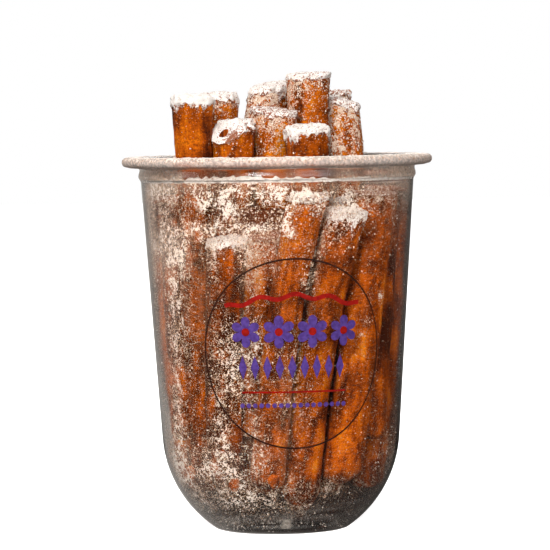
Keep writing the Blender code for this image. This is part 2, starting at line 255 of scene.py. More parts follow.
# Sugar on the inside of the wall, as (angle, height, half width, half height, strength). Angles
# are in degrees from the front, to the right, and widths are along the wall.
DUST_SPOTS = [
    (-30, 103.5, 22, 2, 0.22), (-5, 103, 12, 1.8, 0.16), (25, 103.5, 12, 1.6, 0.14),
    (-21.6, 99, 3, 2.8, 0.8), (-30, 100.5, 4, 2.5, 0.25), (-44, 96, 6, 2, 0.15),
    (-25, 93.4, 8, 1.7, 0.55), (-12.5, 93, 3, 1.5, 0.35), (-38, 92.5, 7, 2.6, 0.34),
    (-52, 90, 8, 4, 0.22), (-48, 80, 10, 12, 0.12), (-62, 84, 8, 14, 0.1),
    (-49.2, 84.9, 2.2, 2.8, 0.55), (-29.5, 86, 1.6, 6, 0.4), (-9, 84, 6, 10, 0.18),
    (-8, 96, 5, 5, 0.1), (3.6, 94.3, 1.2, 2.6, 0.55), (5, 98.7, 1.3, 2.2, 0.6),
    (7.2, 101.6, 1.5, 1.4, 0.65), (11.2, 103.2, 2.2, 1.1, 0.7), (15.5, 102, 1.4, 1.4, 0.6),
    (18.1, 99.3, 1.1, 2.2, 0.5), (32.3, 98.6, 3.5, 2.6, 0.55), (26, 101, 4, 3, 0.25),
    (45, 101, 10, 4, 0.18), (58, 97, 4, 8, 0.15), (-53.5, 66, 2.6, 20, 0.3),
    (-57.5, 45, 2.6, 20, 0.36), (-61, 27, 3.2, 14, 0.38), (-1.3, 81.6, 1.4, 1, 0.85),
    (-4.6, 72.1, 1.1, 1.3, 0.8), (5.3, 91.9, 1.5, 1.4, 0.9), (13.9, 87.7, 1.2, 2, 0.4),
    (12, 78, 2.4, 3.5, 0.28), (-15.4, 63, 4, 5, 0.3), (-13, 55, 3.5, 6, 0.24),
    (-27, 45, 5, 16, 0.25), (-25, 24, 10, 9, 0.25), (-22, 14, 9, 3.6, 0.4),
    (-9, 10, 6, 2.6, 0.32), (2, 15.5, 5, 3, 0.26), (-36, 8.5, 8, 2.6, 0.16),
    (-48, 21, 8, 7, 0.26), (-66, 17, 5, 6, 0.3), (-50, 11, 7, 2.4, 0.22),
    (52, 71.9, 1.2, 2.4, 0.8), (43, 64.6, 1.1, 1.4, 0.75), (40, 61, 1, 1, 0.7),
    # The first three spots here and the first on the next line run along the dark gap between the two
    # right fries; besides being dust, they lighten its shade: painted light.
    (20.3, 92, 0.9, 4, 0.34), (18.3, 85, 0.9, 4, 0.34), (16, 78, 0.9, 4, 0.3),
    (14.3, 71.5, 0.9, 4, 0.26), (26.9, 14.8, 4, 2.6, 0.4), (14, 9, 6, 2.4, 0.14),
    (44, 13, 7, 3.5, 0.1), (66, 24, 6, 9, 0.22), (120, 70, 9, 14, 0.25), (165, 88, 10, 6, 0.45),
    (-150, 60, 7, 18, 0.3), (-120, 92, 10, 6, 0.35), (140, 25, 10, 8, 0.28),
    (-170, 22, 10, 8, 0.3),
]
# Places where a fry has rubbed the wall clean, in the same form
CLEAN_SPOTS = [
    (-27.7, 16.2, 1.8, 1.9, 0.95), (-4.6, 17.6, 2, 2.1, 0.95), (-63.5, 97.5, 1.5, 4.5, 0.95),
    (-54.3, 99.6, 3, 2, 0.45), (-41.8, 102.8, 3.6, 1.4, 0.45), (-46, 97, 3.2, 1.8, 0.4),
    (-32, 96.8, 3.4, 1.6, 0.6), (-15.5, 102, 3.6, 2.4, 0.55), (-4.8, 98.4, 3.8, 2.6, 0.6),
    (-11.5, 96, 3.4, 1.8, 0.6), (-23.1, 82.3, 3, 10, 1), (10.9, 96.3, 3.4, 6, 0.8),
    (3.3, 76.5, 3.4, 8.5, 0.9), (18.6, 66, 6.5, 10, 0.6), (31, 74.8, 7.5, 16, 0.6),
    (30, 56, 9, 12, 0.55), (29.5, 33, 7, 13, 0.75), (-4.9, 36.3, 4.6, 9, 0.6),
    (41.2, 83.5, 5, 10, 0.55), (-38, 84, 2, 8, 0.6), (-48, 42, 3.5, 12, 0.5),
    (62, 60, 8, 30, 0.45), (-70, 50, 6, 16, 0.5),
]
# Places of the neck that fries have rubbed clean, in the same form
NECK_CLEAN_SPOTS = [
    (-38.8, 110.5, 2.2, 4, 1), (-18.8, 110, 1.6, 3, 0.9), (-4.2, 110, 6.4, 5, 1.2),
    (-12, 109.6, 2.6, 3, 0.9), (12, 111, 3, 2.5, 0.7), (19, 110, 4.6, 5, 1),
    (150, 110, 6, 5, 0.9), (-160, 110, 5, 5, 0.9),
]
# Places where the wall is milky, in the same form
HAZE_SPOTS = [
    (-54, 86, 11, 8, 0.4), (-30, 93, 14, 3, 0.16), (-9, 84, 6, 9, 0.16), (-80, 96, 12, 14, 0.4),
    (-70, 62, 8, 22, 0.05), (-54.5, 66, 1.6, 17, 0.24), (-58.5, 42, 1.7, 20, 0.26),
    # The spots at 19.3 and 16.3 degrees here and at 14 degrees on the next line run along the dark gap
    # between the two right fries; their milkiness lightens its shade: painted light.
    (-2, 36, 6, 16, 0.14), (19.3, 88.5, 0.8, 5, 0.24), (16.3, 79, 0.8, 5, 0.24),
    (14, 70.5, 0.8, 4, 0.2), (-85, 20, 12, 10, 0.45), (74, 100, 12, 9, 0.36),
    (82, 26, 12, 12, 0.3),
]
# Grey smears, painted as faint highlights, and a painted highlight where the gate's light spot
# shows, on the bottom, in the same form
BOTTOM_SPOTS = [
    (3, 3, 1.3, 2.2, 1.3), (22, 8.2, 9, 0.9, 0.26), (30, 5.6, 8, 0.7, 0.22),
    (46, 9.6, 6, 0.8, 0.2), (-6, 6.4, 8, 0.7, 0.2), (-34, 5, 8, 0.8, 0.24),
    (-58, 9.5, 6, 3, 0.3), (150, 7, 9, 0.9, 0.26), (-140, 8, 9, 0.9, 0.26),
]
# Ends of broken pieces against the wall near the bottom: (angle, height, half width, tint)
CRUMBS = [
    (-27.7, 16.2, 1.75, 0.26), (-4.6, 17.6, 1.95, 0.46), (-60, 19, 1.6, 0.2),
    (140, 17, 1.7, 0.25), (-150, 16.5, 1.5, 0.15),
]
CRUMB_SIDES = 28
CRUMB_ROWS = 13
BOTTOM_FILM_TOP = 12.4
BOTTOM_FILM_ROWS = 30
FILM_INSET = 0.12
FILM_SIDES = 240
FILM_ROWS = 110
NECK_FILM_ROWS = 14
LIP_FILM_LIFT = 0.06

# Loose grains: how many are tried or laid, and their least size, spread and power, where a
# high power makes most of them small
FRY_GRAIN_TRIES = 4200
FRY_GRAIN_SIZES = (0.10, 0.24, 2.4)
WALL_GRAIN_TRIES = 60000
WALL_GRAIN_SIZES = (0.10, 0.22, 2.5)
WALL_GRAINS_Z = (7.0, SHOULDER_Z - 0.8)
LARGE_GRAIN = 0.24
LIP_GRAINS = 2600
LIP_GRAIN_SIZES = (0.12, 0.30, 2.4)
FLOOR_GRAIN_TRIES = 760
FLOOR_GRAIN_SIZES = (0.12, 0.22, 2.6)
FLOOR_SUGAR_RADIUS = 27.0
# The rings of sugar on the step and the lip
RING_SIDES = 720
STEP_ROWS = 9
LIP_ROWS = 10

# Print on the outside of the wall. Its places are measured from its centre, sideways as u and
# upwards as v, and a row of places is (first, last, how many).
PRINT_ANGLE = 7.0
PRINT_Z = 55.9
PRINT_RADIUS = 28.3
PRINT_LINE = 0.52
PRINT_LIFT = 0.05
RING_POINTS = 220
# Each flower's place and size
FLOWERS = ((-14.8, 4.6), (-4.9, 4.9), (5.1, 4.9), (15.0, 4.6))
FLOWERS_V, FLOWER_CENTRE = 6.6, 1.2
LEAVES_U, LEAVES_V, LEAF_SIZE = (-16.0, 14.0, 9), -4.0, 3.6
DOTS_U, DOTS_V, DOT_SIZE = (-16.5, 15.5, 17), -15.4, 0.72
LINE_U, LINE_V, LINE_WIDTH = (-16.5, 16.0, 60), -11.4, 0.55
GARLAND_U, GARLAND_V, GARLAND_WIDTH = (-21.0, 20.0, 160), 17.2, 1.35
GARLAND_FALL, GARLAND_SWING, GARLAND_LOOP = 3.4, 0.7, 10.25


def rng_for(offset):
    return np.random.default_rng(SEED * 1000 + offset)


def waves(points, length, rng, count=28):
    """A smooth random field over points, about -1 to 1, whose bumps are length apart."""
    size = points.shape[-1]
    ways = rng.normal(size=(count, size))
    ways /= np.linalg.norm(ways, axis=1)[:, None]
    ways *= math.tau / length * rng.uniform(0.6, 1.5, count)[:, None]
    phases = rng.uniform(0.0, math.tau, count)
    total = np.zeros(points.shape[:-1])
    for way, phase in zip(ways, phases):
        total += np.cos(points @ way + phase)
    return total * math.sqrt(2.0 / count) * 0.7


def smooth_step(low, high, value):
    share = np.clip((value - low) / (high - low), 0.0, 1.0)
    return share * share * (3.0 - 2.0 * share)


def circle(sides):
    """Angles in radians, evenly once round."""
    return np.arange(sides) * math.tau / sides


def ways_at(turn):
    """Level unit vectors at these angles from +X."""
    return np.stack([np.cos(turn), np.sin(turn)], axis=-1)


def beside_axis(turn, z, radius):
    """Points round an upright axis, at angles in radians from +X."""
    return np.stack([radius * np.cos(turn), radius * np.sin(turn), z + 0.0 * turn], axis=-1)


def about_axis(turn, z, radius):
    """Points round the cup's axis, at angles in radians from the front."""
    return np.stack([radius * np.sin(turn), -radius * np.cos(turn), z + 0.0 * turn], axis=-1)


def heights_times(factor, points):
    return points * np.array((1.0, 1.0, factor))


# Meshes


def add_object(name, data):
    made = bpy.data.objects.new(name, data)
    bpy.context.scene.collection.objects.link(made)
    return made


def new_mesh(name, points, faces, material):
    """A smooth mesh from points in millimetres and one array of faces."""
    count, corners = faces.shape
    mesh = bpy.data.meshes.new(name)
    mesh.vertices.add(len(points))
    mesh.vertices.foreach_set("co", (np.asarray(points, float) * MM).reshape(-1))
    mesh.loops.add(count * corners)
    mesh.loops.foreach_set("vertex_index", faces.reshape(-1).astype(np.int32))
    mesh.polygons.add(count)
    mesh.polygons.foreach_set("loop_start", np.arange(count, dtype=np.int32) * corners)
    mesh.polygons.foreach_set("use_smooth", np.full(count, True))
    mesh.update(calc_edges=True)
    mesh.validate()
    mesh.materials.append(material)
    return mesh


def add_piece(name, points, faces, material, slot="icing_sugar", attributes=None):
    """A piece of the object, which rides on the one body, with values for its material to read."""
    mesh = new_mesh(name, points, faces, material)
    for key, values in (attributes or {}).items():
        values = np.asarray(values, np.float32).reshape(-1)
        kind, field = ("FLOAT", "value") if len(values) == len(points) else ("FLOAT_VECTOR", "vector")
        mesh.attributes.new(key, kind, "POINT").data.foreach_set(field, values)
    piece = add_object(name, mesh)
    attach(piece, "root")
    return piece


def grid_faces(rows, columns, flip=False):
    """Quads between rows of points that each run once round."""
    i = np.arange(rows - 1)[:, None]
    j = np.arange(columns)[None, :]
    k = (j + 1) % columns
    quads = np.stack(
        [i * columns + j, i * columns + k, (i + 1) * columns + k, (i + 1) * columns + j], axis=-1
    )
    quads = quads.reshape(-1, 4)
    return quads[:, ::-1] if flip else quads


def grid(rows, flip=False):
    """Points and quads of rows of points that each run once round."""
    return rows.reshape(-1, 3), grid_faces(*rows.shape[:2], flip=flip)


def joined(shapes):
    """Points and faces of several shapes as one."""
    points, faces, first = [], [], 0
    for shape_points, shape_faces in shapes:
        points.append(shape_points)
        faces.append(shape_faces + first)
        first += len(shape_points)
    return np.concatenate(points), np.concatenate(faces)


# Materials


class Nodes:
    """Adds nodes to one tree. An input is a number, a colour or another node's output."""

    def __init__(self, owner):
        self.owner = owner
        owner.use_nodes = True
        self.tree = owner.node_tree
        self.tree.nodes.clear()

    def node(self, kind, inputs=None, **settings):
        made = self.tree.nodes.new("ShaderNode" + kind)
        for key, value in settings.items():
            setattr(made, key, value)
        for key, value in (inputs or {}).items():
            if isinstance(value, bpy.types.NodeSocket):
                self.tree.links.new(value, made.inputs[key])
            else:
                made.inputs[key].default_value = value
        return made

    def get(self, kind, inputs=None, output=0, **settings):
        return self.node(kind, inputs, **settings).outputs[output]

    def attribute(self, name, output="Fac"):
        return self.get("Attribute", None, output, attribute_name=name)

    def place(self):
        """Place on the object in millimetres."""
        return self.stretched(self.get("TexCoord", None, "Object"), (1000.0, 1000.0, 1000.0))

    def stretched(self, vector, factors):
        return self.get("VectorMath", {0: vector, 1: factors}, operation="MULTIPLY")

    def axis(self, vector, letter):
        return self.get("SeparateXYZ", {0: vector}, letter)

    def maths(self, operation, *values, clamp=False):
        return self.get("Math", dict(enumerate(values)), operation=operation, use_clamp=clamp)

    def times(self, first, second):
        return self.maths("MULTIPLY", first, second)

    def times_plus(self, first, second, third):
        return self.maths("MULTIPLY_ADD", first, second, third)

    def added(self, start, *terms):
        """A start plus each value times its factor."""
        for value, factor in terms:
            start = self.times_plus(value, factor, start)
        return start

    def minus(self, first, second):
        return self.maths("SUBTRACT", first, second)

    def larger(self, first, second):
        return self.maths("MAXIMUM", first, second)

    def noise(self, vector, scale, detail=3.0, roughness=0.55):
        values = {"Vector": vector, "Scale": scale, "Detail": detail, "Roughness": roughness}
        return self.get("TexNoise", values, "Fac")

    def ramp(self, value, stops):
        made = self.node("ValToRGB", {0: value})
        elements = made.color_ramp.elements
        while len(elements) < len(stops):
            elements.new(0.5)
        for element, (place, colour) in zip(elements, stops):
            element.position = place
            element.color = (*colour, 1.0)
        return made.outputs["Color"]

    def mix(self, share, first, second, blend="MIX"):
        inputs = {0: share, 6: first, 7: second}
        return self.get("Mix", inputs, 2, data_type="RGBA", blend_type=blend)

    def span(self, value, low, high, new_low=0.0, new_high=1.0):
        """Maps low..high of a value smoothly onto new_low..new_high."""
        inputs = {"Value": value, "From Min": low, "From Max": high, "To Min": new_low, "To Max": new_high}
        return self.get("MapRange", inputs, "Result", interpolation_type="SMOOTHSTEP")

    def specks(self, vector, cell, density, size=0.40, soft=0.14):
        """1 in round specks, about size of a cell wide, in a share of the cells given by density."""
        cells = self.node("TexVoronoi", {"Vector": vector, "Scale": 1.0 / cell, "Randomness": 1.0}).outputs
        chance = self.node("SeparateColor", {0: cells["Color"]}).outputs
        there = self.span(self.minus(density, chance[0]), -0.04, 0.04)
        reach = self.times_plus(chance[1], size * 0.7, size * 0.5)
        return self.times(self.span(self.minus(reach, cells["Distance"]), 0.0, soft), there)

    def salt(self, noise, level, soft=0.03):
        """1 where a noise is so high that a share of level of the surface reaches it."""
        curve = self.ramp(level, [(share, (cut, cut, cut)) for share, cut in SALT_CURVE])
        cut = self.get("SeparateColor", {0: curve})
        return self.span(self.minus(noise, cut), -soft / 2, soft / 2)

    def clumped(self, level, noise, strength=0.75):
        """A level of sugar that gathers in clumps."""
        return self.times(level, self.span(noise, 0.38, 0.62, 1.0 - strength, 1.0 + strength))

    def massed(self, level):
        """The share of sugar that lies in patches, as the rest of it lies in single grains."""
        return self.times(level, self.span(level, 0.08, 0.45, 0.30, 1.0))

    def shader(self, colour, roughness, specular, bump, more=None):
        """A surface; bump is (strength, depth in millimetres, height)."""
        strength, depth, height = bump
        inputs = {"Strength": strength, "Distance": depth * MM, "Height": height}
        return self.get("BsdfPrincipled", {
            "Base Color": colour, "Roughness": roughness, "Specular IOR Level": specular,
            "Normal": self.get("Bump", inputs), **(more or {}),
        })

    def choose(self, share, first, second):
        """The first shader where the share is 0 and the second where it is 1."""
        return self.get("MixShader", {0: share, 1: first, 2: second})

    def finish(self, surface, kind="OutputMaterial"):
        """Ends the tree with a surface, and gives back its material or world."""
        self.node(kind, {"Surface": surface})
        return self.owner


# Threshold that a share of a fractal noise passes, as (share, threshold)
SALT_CURVE = [(0.0, 0.72), (0.02, 0.645), (0.05, 0.618), (0.10, 0.592), (0.20, 0.560), (0.30, 0.538),
              (0.50, 0.500), (0.70, 0.462), (0.80, 0.440), (0.90, 0.408), (1.0, 0.33)]


def new_material(name):
    return Nodes(bpy.data.materials.new(name))


def crust_material():
    """Fried dough: streaked orange-brown with pores and dusted sugar, and painted shade in its
    grooves and in its pores under the sugar.
    """
    n = new_material("fried_crust")
    place = n.attribute("stick", "Vector")
    streaks = n.noise(n.stretched(place, (1.0, 1.0, 0.14)), 0.60, 4.0)
    patches = n.noise(n.stretched(place, (1.0, 1.0, 0.6)), 0.16)
    pores = n.noise(place, 2.2, 3.0, 0.6)
    bands = n.noise(n.stretched(place, (0.35, 0.35, 1.0)), 1.5)
    fine = n.noise(n.stretched(place, (1.0, 1.0, 0.7)), 5.2, 2.0)
    tint, groove = n.attribute("tint"), n.attribute("groove")
    # The groove term darkens the tone between the ridges: painted shade.
    tone = n.added(-1.02, (tint, 0.46), (streaks, 0.80), (patches, 1.64), (bands, 0.75), (groove, -0.12))
    colour = n.ramp(tone, [
        (0.24, (0.055, 0.011, 0.003)), (0.44, (0.150, 0.027, 0.003)), (0.60, (0.300, 0.054, 0.002)),
        (0.76, (0.460, 0.086, 0.002)), (0.94, (0.620, 0.150, 0.003)), (1.08, (0.680, 0.195, 0.008)),
    ])
    dust = n.attribute("dust")
    # Pores darken the dough, and under sugar they darken it more: there this is painted shade between the
    # grains.
    shade = n.span(pores, 0.36, 0.62, n.span(dust, 0.05, 0.55, 0.60, 0.34), 1.16)
    colour = n.mix(1.0, colour, n.get("CombineColor", {0: shade, 1: shade, 2: shade}), "MULTIPLY")
    grains = n.noise(place, 2.1, 3.0, 0.65)
    level = n.clumped(dust, n.noise(place, 0.62, 3.0, 0.6))
    small = n.specks(place, 0.58, n.times_plus(level, 0.34, -0.001), 0.46)
    sugar = n.larger(n.salt(grains, n.massed(level), 0.045), small)
    cover = n.times(sugar, 0.90)
    white = n.ramp(fine, [(0.38, (0.56, 0.34, 0.20)), (0.62, (0.96, 0.83, 0.69))])
    height = n.added(n.times(streaks, 0.55), (pores, 0.45), (fine, 0.16), (sugar, 0.8))
    rough = n.span(cover, 0.0, 1.0, 0.55, 0.92)
    return n.finish(n.shader(n.mix(cover, colour, white), rough, 0.04, (0.7, 0.4, height)))


def sugar_material(name, dark=(0.50, 0.34, 0.26), light=(0.92, 0.87, 0.82), bare=False):
    """Packed icing sugar: white with painted shade in its small hollows, and dough where the coat
    is thin.
    """
    n = new_material(name)
    place = n.place()
    lumps = n.noise(place, 2.6, 4.0, 0.65)
    large = n.noise(place, 0.6)
    tone = n.times_plus(large, 0.40, n.times(lumps, 0.75))
    middle = tuple((a + 3 * b) / 4 for a, b in zip(dark, light))
    # The dark end of the ramp is painted shade in the hollows.
    colour = n.ramp(tone, [(0.36, dark), (0.50, middle), (0.64, light)])
    if bare:
        dough = n.salt(n.noise(place, 1.5, 3.0, 0.65), n.attribute("bare"))
        colour = n.mix(n.times(dough, 0.93), colour, (0.26, 0.060, 0.008, 1.0))
    height = n.times_plus(lumps, 0.8, n.times(large, 0.4))
    return n.finish(n.shader(colour, 0.95, 0.1, (0.8, 0.55, height)))


def core_material():
    """Painted shade for the inside of the bundle: dark red-brown with a little sugar."""
    n = new_material("dark_crumb")
    place = n.place()
    patches = n.noise(place, 0.22, 4.0)
    pores = n.noise(place, 1.6, 4.0, 0.6)
    tone = n.times_plus(pores, 0.5, n.times(patches, 0.5))
    stops = [(0.35, (0.060, 0.012, 0.004)), (0.52, (0.150, 0.032, 0.007)), (0.70, (0.260, 0.062, 0.012))]
    dots = n.specks(place, 0.8, n.times_plus(patches, 0.5, -0.10))
    colour = n.mix(n.times(dots, 0.6), n.ramp(tone, stops), (0.60, 0.46, 0.38, 1.0))
    height = n.times_plus(pores, 0.7, n.times(dots, 0.5))
    return n.finish(n.shader(colour, 0.8, 0.25, (0.8, 0.6, height)))


def film_material(name, thin_veil=(0.50, 0.25, 0.13), thick_veil=(0.80, 0.61, 0.49)):
    """A dusting of sugar on the wall: see-through between its specks and veils."""
    n = new_material(name)
    place = n.place()
    haze = n.attribute("haze")
    coarse = n.noise(place, 1.1, 3.0, 0.6)
    grains = n.noise(place, 2.7, 2.0, 0.6)
    fine = n.noise(place, 1.5, 3.0, 0.6)
    level = n.clumped(n.attribute("dust"), n.noise(place, 0.34), 0.45)
    level = n.clumped(level, coarse, 0.50)
    small = n.specks(place, 0.60, n.times_plus(level, 0.55, 0.02), 0.46)
    dots = n.larger(n.salt(grains, n.massed(level), 0.04), small)
    veil = n.times(haze, n.span(coarse, 0.36, 0.64, 0.5, 1.0))
    alpha = n.larger(n.times(dots, 0.90), veil)
    white = n.ramp(fine, [
        (0.38, (0.40, 0.20, 0.10)), (0.50, (0.64, 0.42, 0.28)), (0.62, (0.90, 0.75, 0.62)),
    ])
    white = n.mix(n.span(level, 0.35, 0.80), white, (0.92, 0.81, 0.72, 1.0))
    colour = n.mix(dots, n.ramp(haze, [(0.10, thin_veil), (0.55, thick_veil)]), white)
    height = n.times_plus(grains, 1.6, dots)
    return n.finish(n.shader(colour, 0.9, 0.1, (0.6, 0.3, height), {"Alpha": alpha}))


def plastic_material():
    """Thin clear plastic that lets the lamps reach what stands in the cup."""
    n = new_material("clear_plastic")
    place = n.place()
    smears = n.span(n.noise(place, 0.08), 0.35, 0.70, 0.03, 0.10)
    neck = n.span(n.axis(place, "Z"), SHOULDER_Z - 0.2, NECK_BOTTOM_Z - 0.8, 0.0, 0.14)
    plastic = n.shader(
        (0.97, 0.965, 0.955, 1.0), n.maths("ADD", smears, neck), 0.5,
        (0.05, 0.1, n.noise(place, 1.8)), {"IOR": 1.46, "Transmission Weight": 1.0},
    )
    clear = n.get("BsdfTransparent", {"Color": (0.92, 0.90, 0.88, 1.0)})
    return n.finish(n.choose(n.get("LightPath", output="Is Shadow Ray"), plastic, clear))


def ink_material(name, colour, dark):
    """Printed ink with slight unevenness."""
    n = new_material(name)
    tone = n.ramp(n.noise(n.place(), 0.9, 4.0), [(0.35, dark), (0.62, colour)])
    ink = {"Base Color": tone, "Roughness": 0.6, "Specular IOR Level": 0.06}
    return n.finish(n.get("BsdfPrincipled", ink))


# Cup


def tangent_point(radius):
    """Where the cone of the wall meets a ball of this radius: (distance from the axis, height)."""
    across = SHOULDER_RADIUS + radius - BALL_RADIUS
    up = SHOULDER_Z - BALL_CENTRE_Z
    distance = math.hypot(across, up)
    turn = math.atan2(up, across) - math.acos(radius / distance)
    return radius * math.cos(turn), BALL_CENTRE_Z + radius * math.sin(turn)


def ball_and_wall(inset, start_r):
    """Profile from a place on the ball up to the shoulder, this far under the outside."""
    radius = BALL_RADIUS - inset
    end_r, end_z = tangent_point(radius)
    low = math.acos(start_r / radius)
    high = math.asin((BALL_CENTRE_Z - end_z) / radius)
    turns = [low + (high - low) * i / BALL_STEPS for i in range(BALL_STEPS + 1)]
    ball = [(radius * math.cos(a), BALL_CENTRE_Z - radius * math.sin(a)) for a in turns]
    rise_r, rise_z = SHOULDER_RADIUS - inset - end_r, SHOULDER_Z - 0.2 - end_z
    shares = [i / WALL_STEPS for i in range(1, WALL_STEPS)]
    return ball + [(end_r + rise_r * share, end_z + rise_z * share) for share in shares]


def lip_arc(reach=LIP_ROUNDING):
    """Profile round the lip's blunt edge."""
    centre = LIP_RADIUS - LIP_ROUNDING
    turns = np.radians(np.linspace(*LIP_ARC_DEG, LIP_ARC_POINTS))
    return [(centre + reach * math.cos(a), LIP_TIP_Z + reach * math.sin(a)) for a in turns]


def outer_profile():
    recess = FOOT_RADIUS - FOOT_WIDTH
    return [
        (TINY, PUSH_UP - GATE_DROP),
        (GATE_RADIUS * 0.8, PUSH_UP - GATE_DROP),
        (GATE_RADIUS, PUSH_UP - 0.1),
        (GATE_RADIUS + 0.3, PUSH_UP),
        (recess - 1.4, PUSH_UP),
        (recess - 0.9, PUSH_UP - 0.2),
        (recess - 0.1, 0.15),
        (recess + 0.3, 0.0),
        (FOOT_RADIUS, 0.0),
        *ball_and_wall(0.0, FOOT_RADIUS + 1.1),
        (SHOULDER_RADIUS, SHOULDER_Z),
        (SHOULDER_RADIUS + 0.10, SHOULDER_Z + 0.45),
        (SHOULDER_RADIUS + 0.30, SHOULDER_Z + 0.85),
        (NECK_RADIUS - 0.1, NECK_BOTTOM_Z - 0.4),
        (NECK_RADIUS + 0.08, NECK_BOTTOM_Z),
        (NECK_RADIUS + 0.10, NECK_BOTTOM_Z + 0.5),
        (NECK_RADIUS, NECK_BOTTOM_Z + 1.1),
        (NECK_RADIUS - 0.22, LIP_BOTTOM_Z - 1.0),
        (NECK_RADIUS - 0.26, LIP_BOTTOM_Z - 0.5),
        (NECK_RADIUS - 0.10, LIP_BOTTOM_Z - 0.15),
        (NECK_RADIUS + 0.4, LIP_BOTTOM_Z + 0.05),
        (LIP_RADIUS - 2.4, LIP_BOTTOM_Z + 0.25),
        *lip_arc(),
        (LIP_RADIUS - 2.4, CUP_HEIGHT),
        (LIP_RADIUS - 4.6, CUP_HEIGHT),
        (NECK_RADIUS - WALL + 0.55, CUP_HEIGHT - 0.1),
        (NECK_RADIUS - WALL + 0.12, CUP_HEIGHT - 0.5),
    ]


def inner_profile():
    recess = FOOT_RADIUS - FOOT_WIDTH
    floor_z = PUSH_UP + WALL
    neck, shoulder = NECK_RADIUS - WALL, SHOULDER_RADIUS - WALL
    return [
        (neck, CUP_HEIGHT - 1.1),
        (neck, NECK_BOTTOM_Z + 0.5),
        (neck - 0.1, NECK_BOTTOM_Z),
        (shoulder + 0.25, SHOULDER_Z + 0.8),
        (shoulder + 0.05, SHOULDER_Z + 0.3),
        (shoulder, SHOULDER_Z - 0.2),
        *reversed(ball_and_wall(WALL, FOOT_RADIUS + 0.3)),
        (FOOT_RADIUS - 0.8, WALL),
        (recess + 0.6, WALL),
        (recess - 0.1, WALL + 0.5),
        (recess - 0.8, floor_z),
        (TINY, floor_z),
    ]


def turned(profile, sides):
    """Rows of points of a profile of (distance from the axis, height) turned about Z."""
    r, z = np.asarray(profile, float).T[:, :, None]
    return about_axis(circle(sides), z, r)


def make_cup(material):
    rows = turned(outer_profile() + inner_profile(), CUP_SEGMENTS)
    cup = add_piece("clear_cup", *grid(rows), material, "clear_plastic")
    cup.data.set_sharp_from_angle(angle=math.radians(CUP_SHARP_DEG))
    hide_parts("cup")


def cup_radius(z, inset=0.0):
    """Radius of the ball and the wall at these heights, this far under their outside."""
    z = np.asarray(z, float)
    ball, shoulder = BALL_RADIUS - inset, SHOULDER_RADIUS - inset
    join_r, join_z = tangent_point(ball)
    low = np.sqrt(np.clip(ball**2 - (BALL_CENTRE_Z - z) ** 2, 0.0, None))
    slope = (shoulder - join_r) / (SHOULDER_Z - join_z)
    return np.where(z < join_z, low, np.minimum(join_r + slope * (z - join_z), shoulder))


def room_at(z):
    """Radius of the free space inside the cup at these heights."""
    return cup_radius(z, WALL)


# Where the fries stand


def radius_at(fry, z):
    rise = np.clip(1.0 - (fry.top_z - np.asarray(z, float)) / FLARE_LENGTH, 0.0, 1.0)
    return FRY_DIAMETER * fry.width / 2 * (1.0 + TOP_FLARE * rise)


def bottom_height(fry, path):
    z = max(PUSH_UP + WALL + WALL_GAP, fry.low_z)
    while np.hypot(*path(z)) + radius_at(fry, z) * 0.9 > room_at(z) - WALL_GAP:
        z += 0.1
    return z


def wanted_path(fry):
    bottom, top = np.array(fry.bottom), np.array(fry.top)
    bow = np.array((fry.bow * 4, 0.0))

    def place(z):
        share = np.clip(np.asarray(z, float) / fry.top_z, 0.0, 1.0)[..., None]
        return bottom + (top - bottom) * share + bow * share * (1 - share)

    return place


def bent_path(heights, places):
    curve = np.polyfit(heights, places, 2)
    return lambda z: np.stack([np.polyval(curve[:, 0], z), np.polyval(curve[:, 1], z)], axis=-1)


def settle():
    """Pushes the fries apart and off the wall as in the CAD: {name: (path, bottom height)}."""
    levels = np.arange(LOWEST_LEVEL, max(f.top_z for f in FRIES), LEVEL_STEP)
    radii = np.array([radius_at(f, levels) for f in FRIES])
    paths = [wanted_path(f) for f in FRIES]
    lowest = [bottom_height(f, p) - LEVEL_STEP / 2 for f, p in zip(FRIES, paths)]
    wanted = np.array([[p(z) for z in levels] for p in paths])
    here = np.array([(levels > low) & (levels < f.top_z) for f, low in zip(FRIES, lowest)])
    hold = np.array([HOLD * f.hold for f in FRIES])[:, None, None]
    need = radii[:, None] + radii[None, :] + FRY_GAP
    both = here[:, None] & here[None, :]
    room = room_at(levels)[None, :] - radii - WALL_GAP
    places = wanted.copy()
    for _ in range(SETTLE_ROUNDS):
        places += hold * (wanted - places)
        apart = places[:, None] - places[None, :]
        distance = np.linalg.norm(apart, axis=3) + np.eye(len(FRIES))[:, :, None] * 1e3
        push = np.where(both, np.clip(need - distance, 0.0, None), 0.0) / 2
        places += (apart / distance[..., None] * push[..., None]).sum(axis=1) * 0.7
        reach = np.linalg.norm(places, axis=2)
        places *= np.minimum(1.0, np.clip(room, 1.0, None) / np.maximum(reach, 1e-6))[..., None]
        for i in range(len(FRIES)):
            places[i] = bent_path(levels[here[i]], places[i][here[i]])(levels)
    settled = {}
    for i, fry in enumerate(FRIES):
        path = bent_path(levels[here[i]], places[i][here[i]])
        settled[fry.name] = (path, bottom_height(fry, path))
    return settled


def swayed(name, path):
    if name not in SWAY:
        return path
    offset, middle, length = SWAY[name]

    def place(z):
        share = np.exp(-(((np.asarray(z, float) - middle) / length) ** 2))
        return path(z) + share[..., None] * np.array(offset)

    return place


SETTLED = {name: (swayed(name, path), bottom) for name, (path, bottom) in settle().items()}
SETTLED.update({filler.name: (wanted_path(filler), filler.low_z) for filler in FILLERS})


def kept_inside(points, gap):
    """Pulls points in where they would come too near the cup's wall."""
    reach = np.hypot(points[..., 0], points[..., 1])
    limit = np.where(points[..., 2] > NECK_BOTTOM_Z, np.inf, room_at(points[..., 2]) - gap)
    share = np.minimum(1.0, limit / np.maximum(reach, 1e-6))
    return np.stack([points[..., 0] * share, points[..., 1] * share, points[..., 2]], axis=-1)


# Fries


def dough_top(fry):
    """Height of the dough under the sugar cap, at the axis of an end that isn't slanted."""
    return fry.top_z - fry.cap


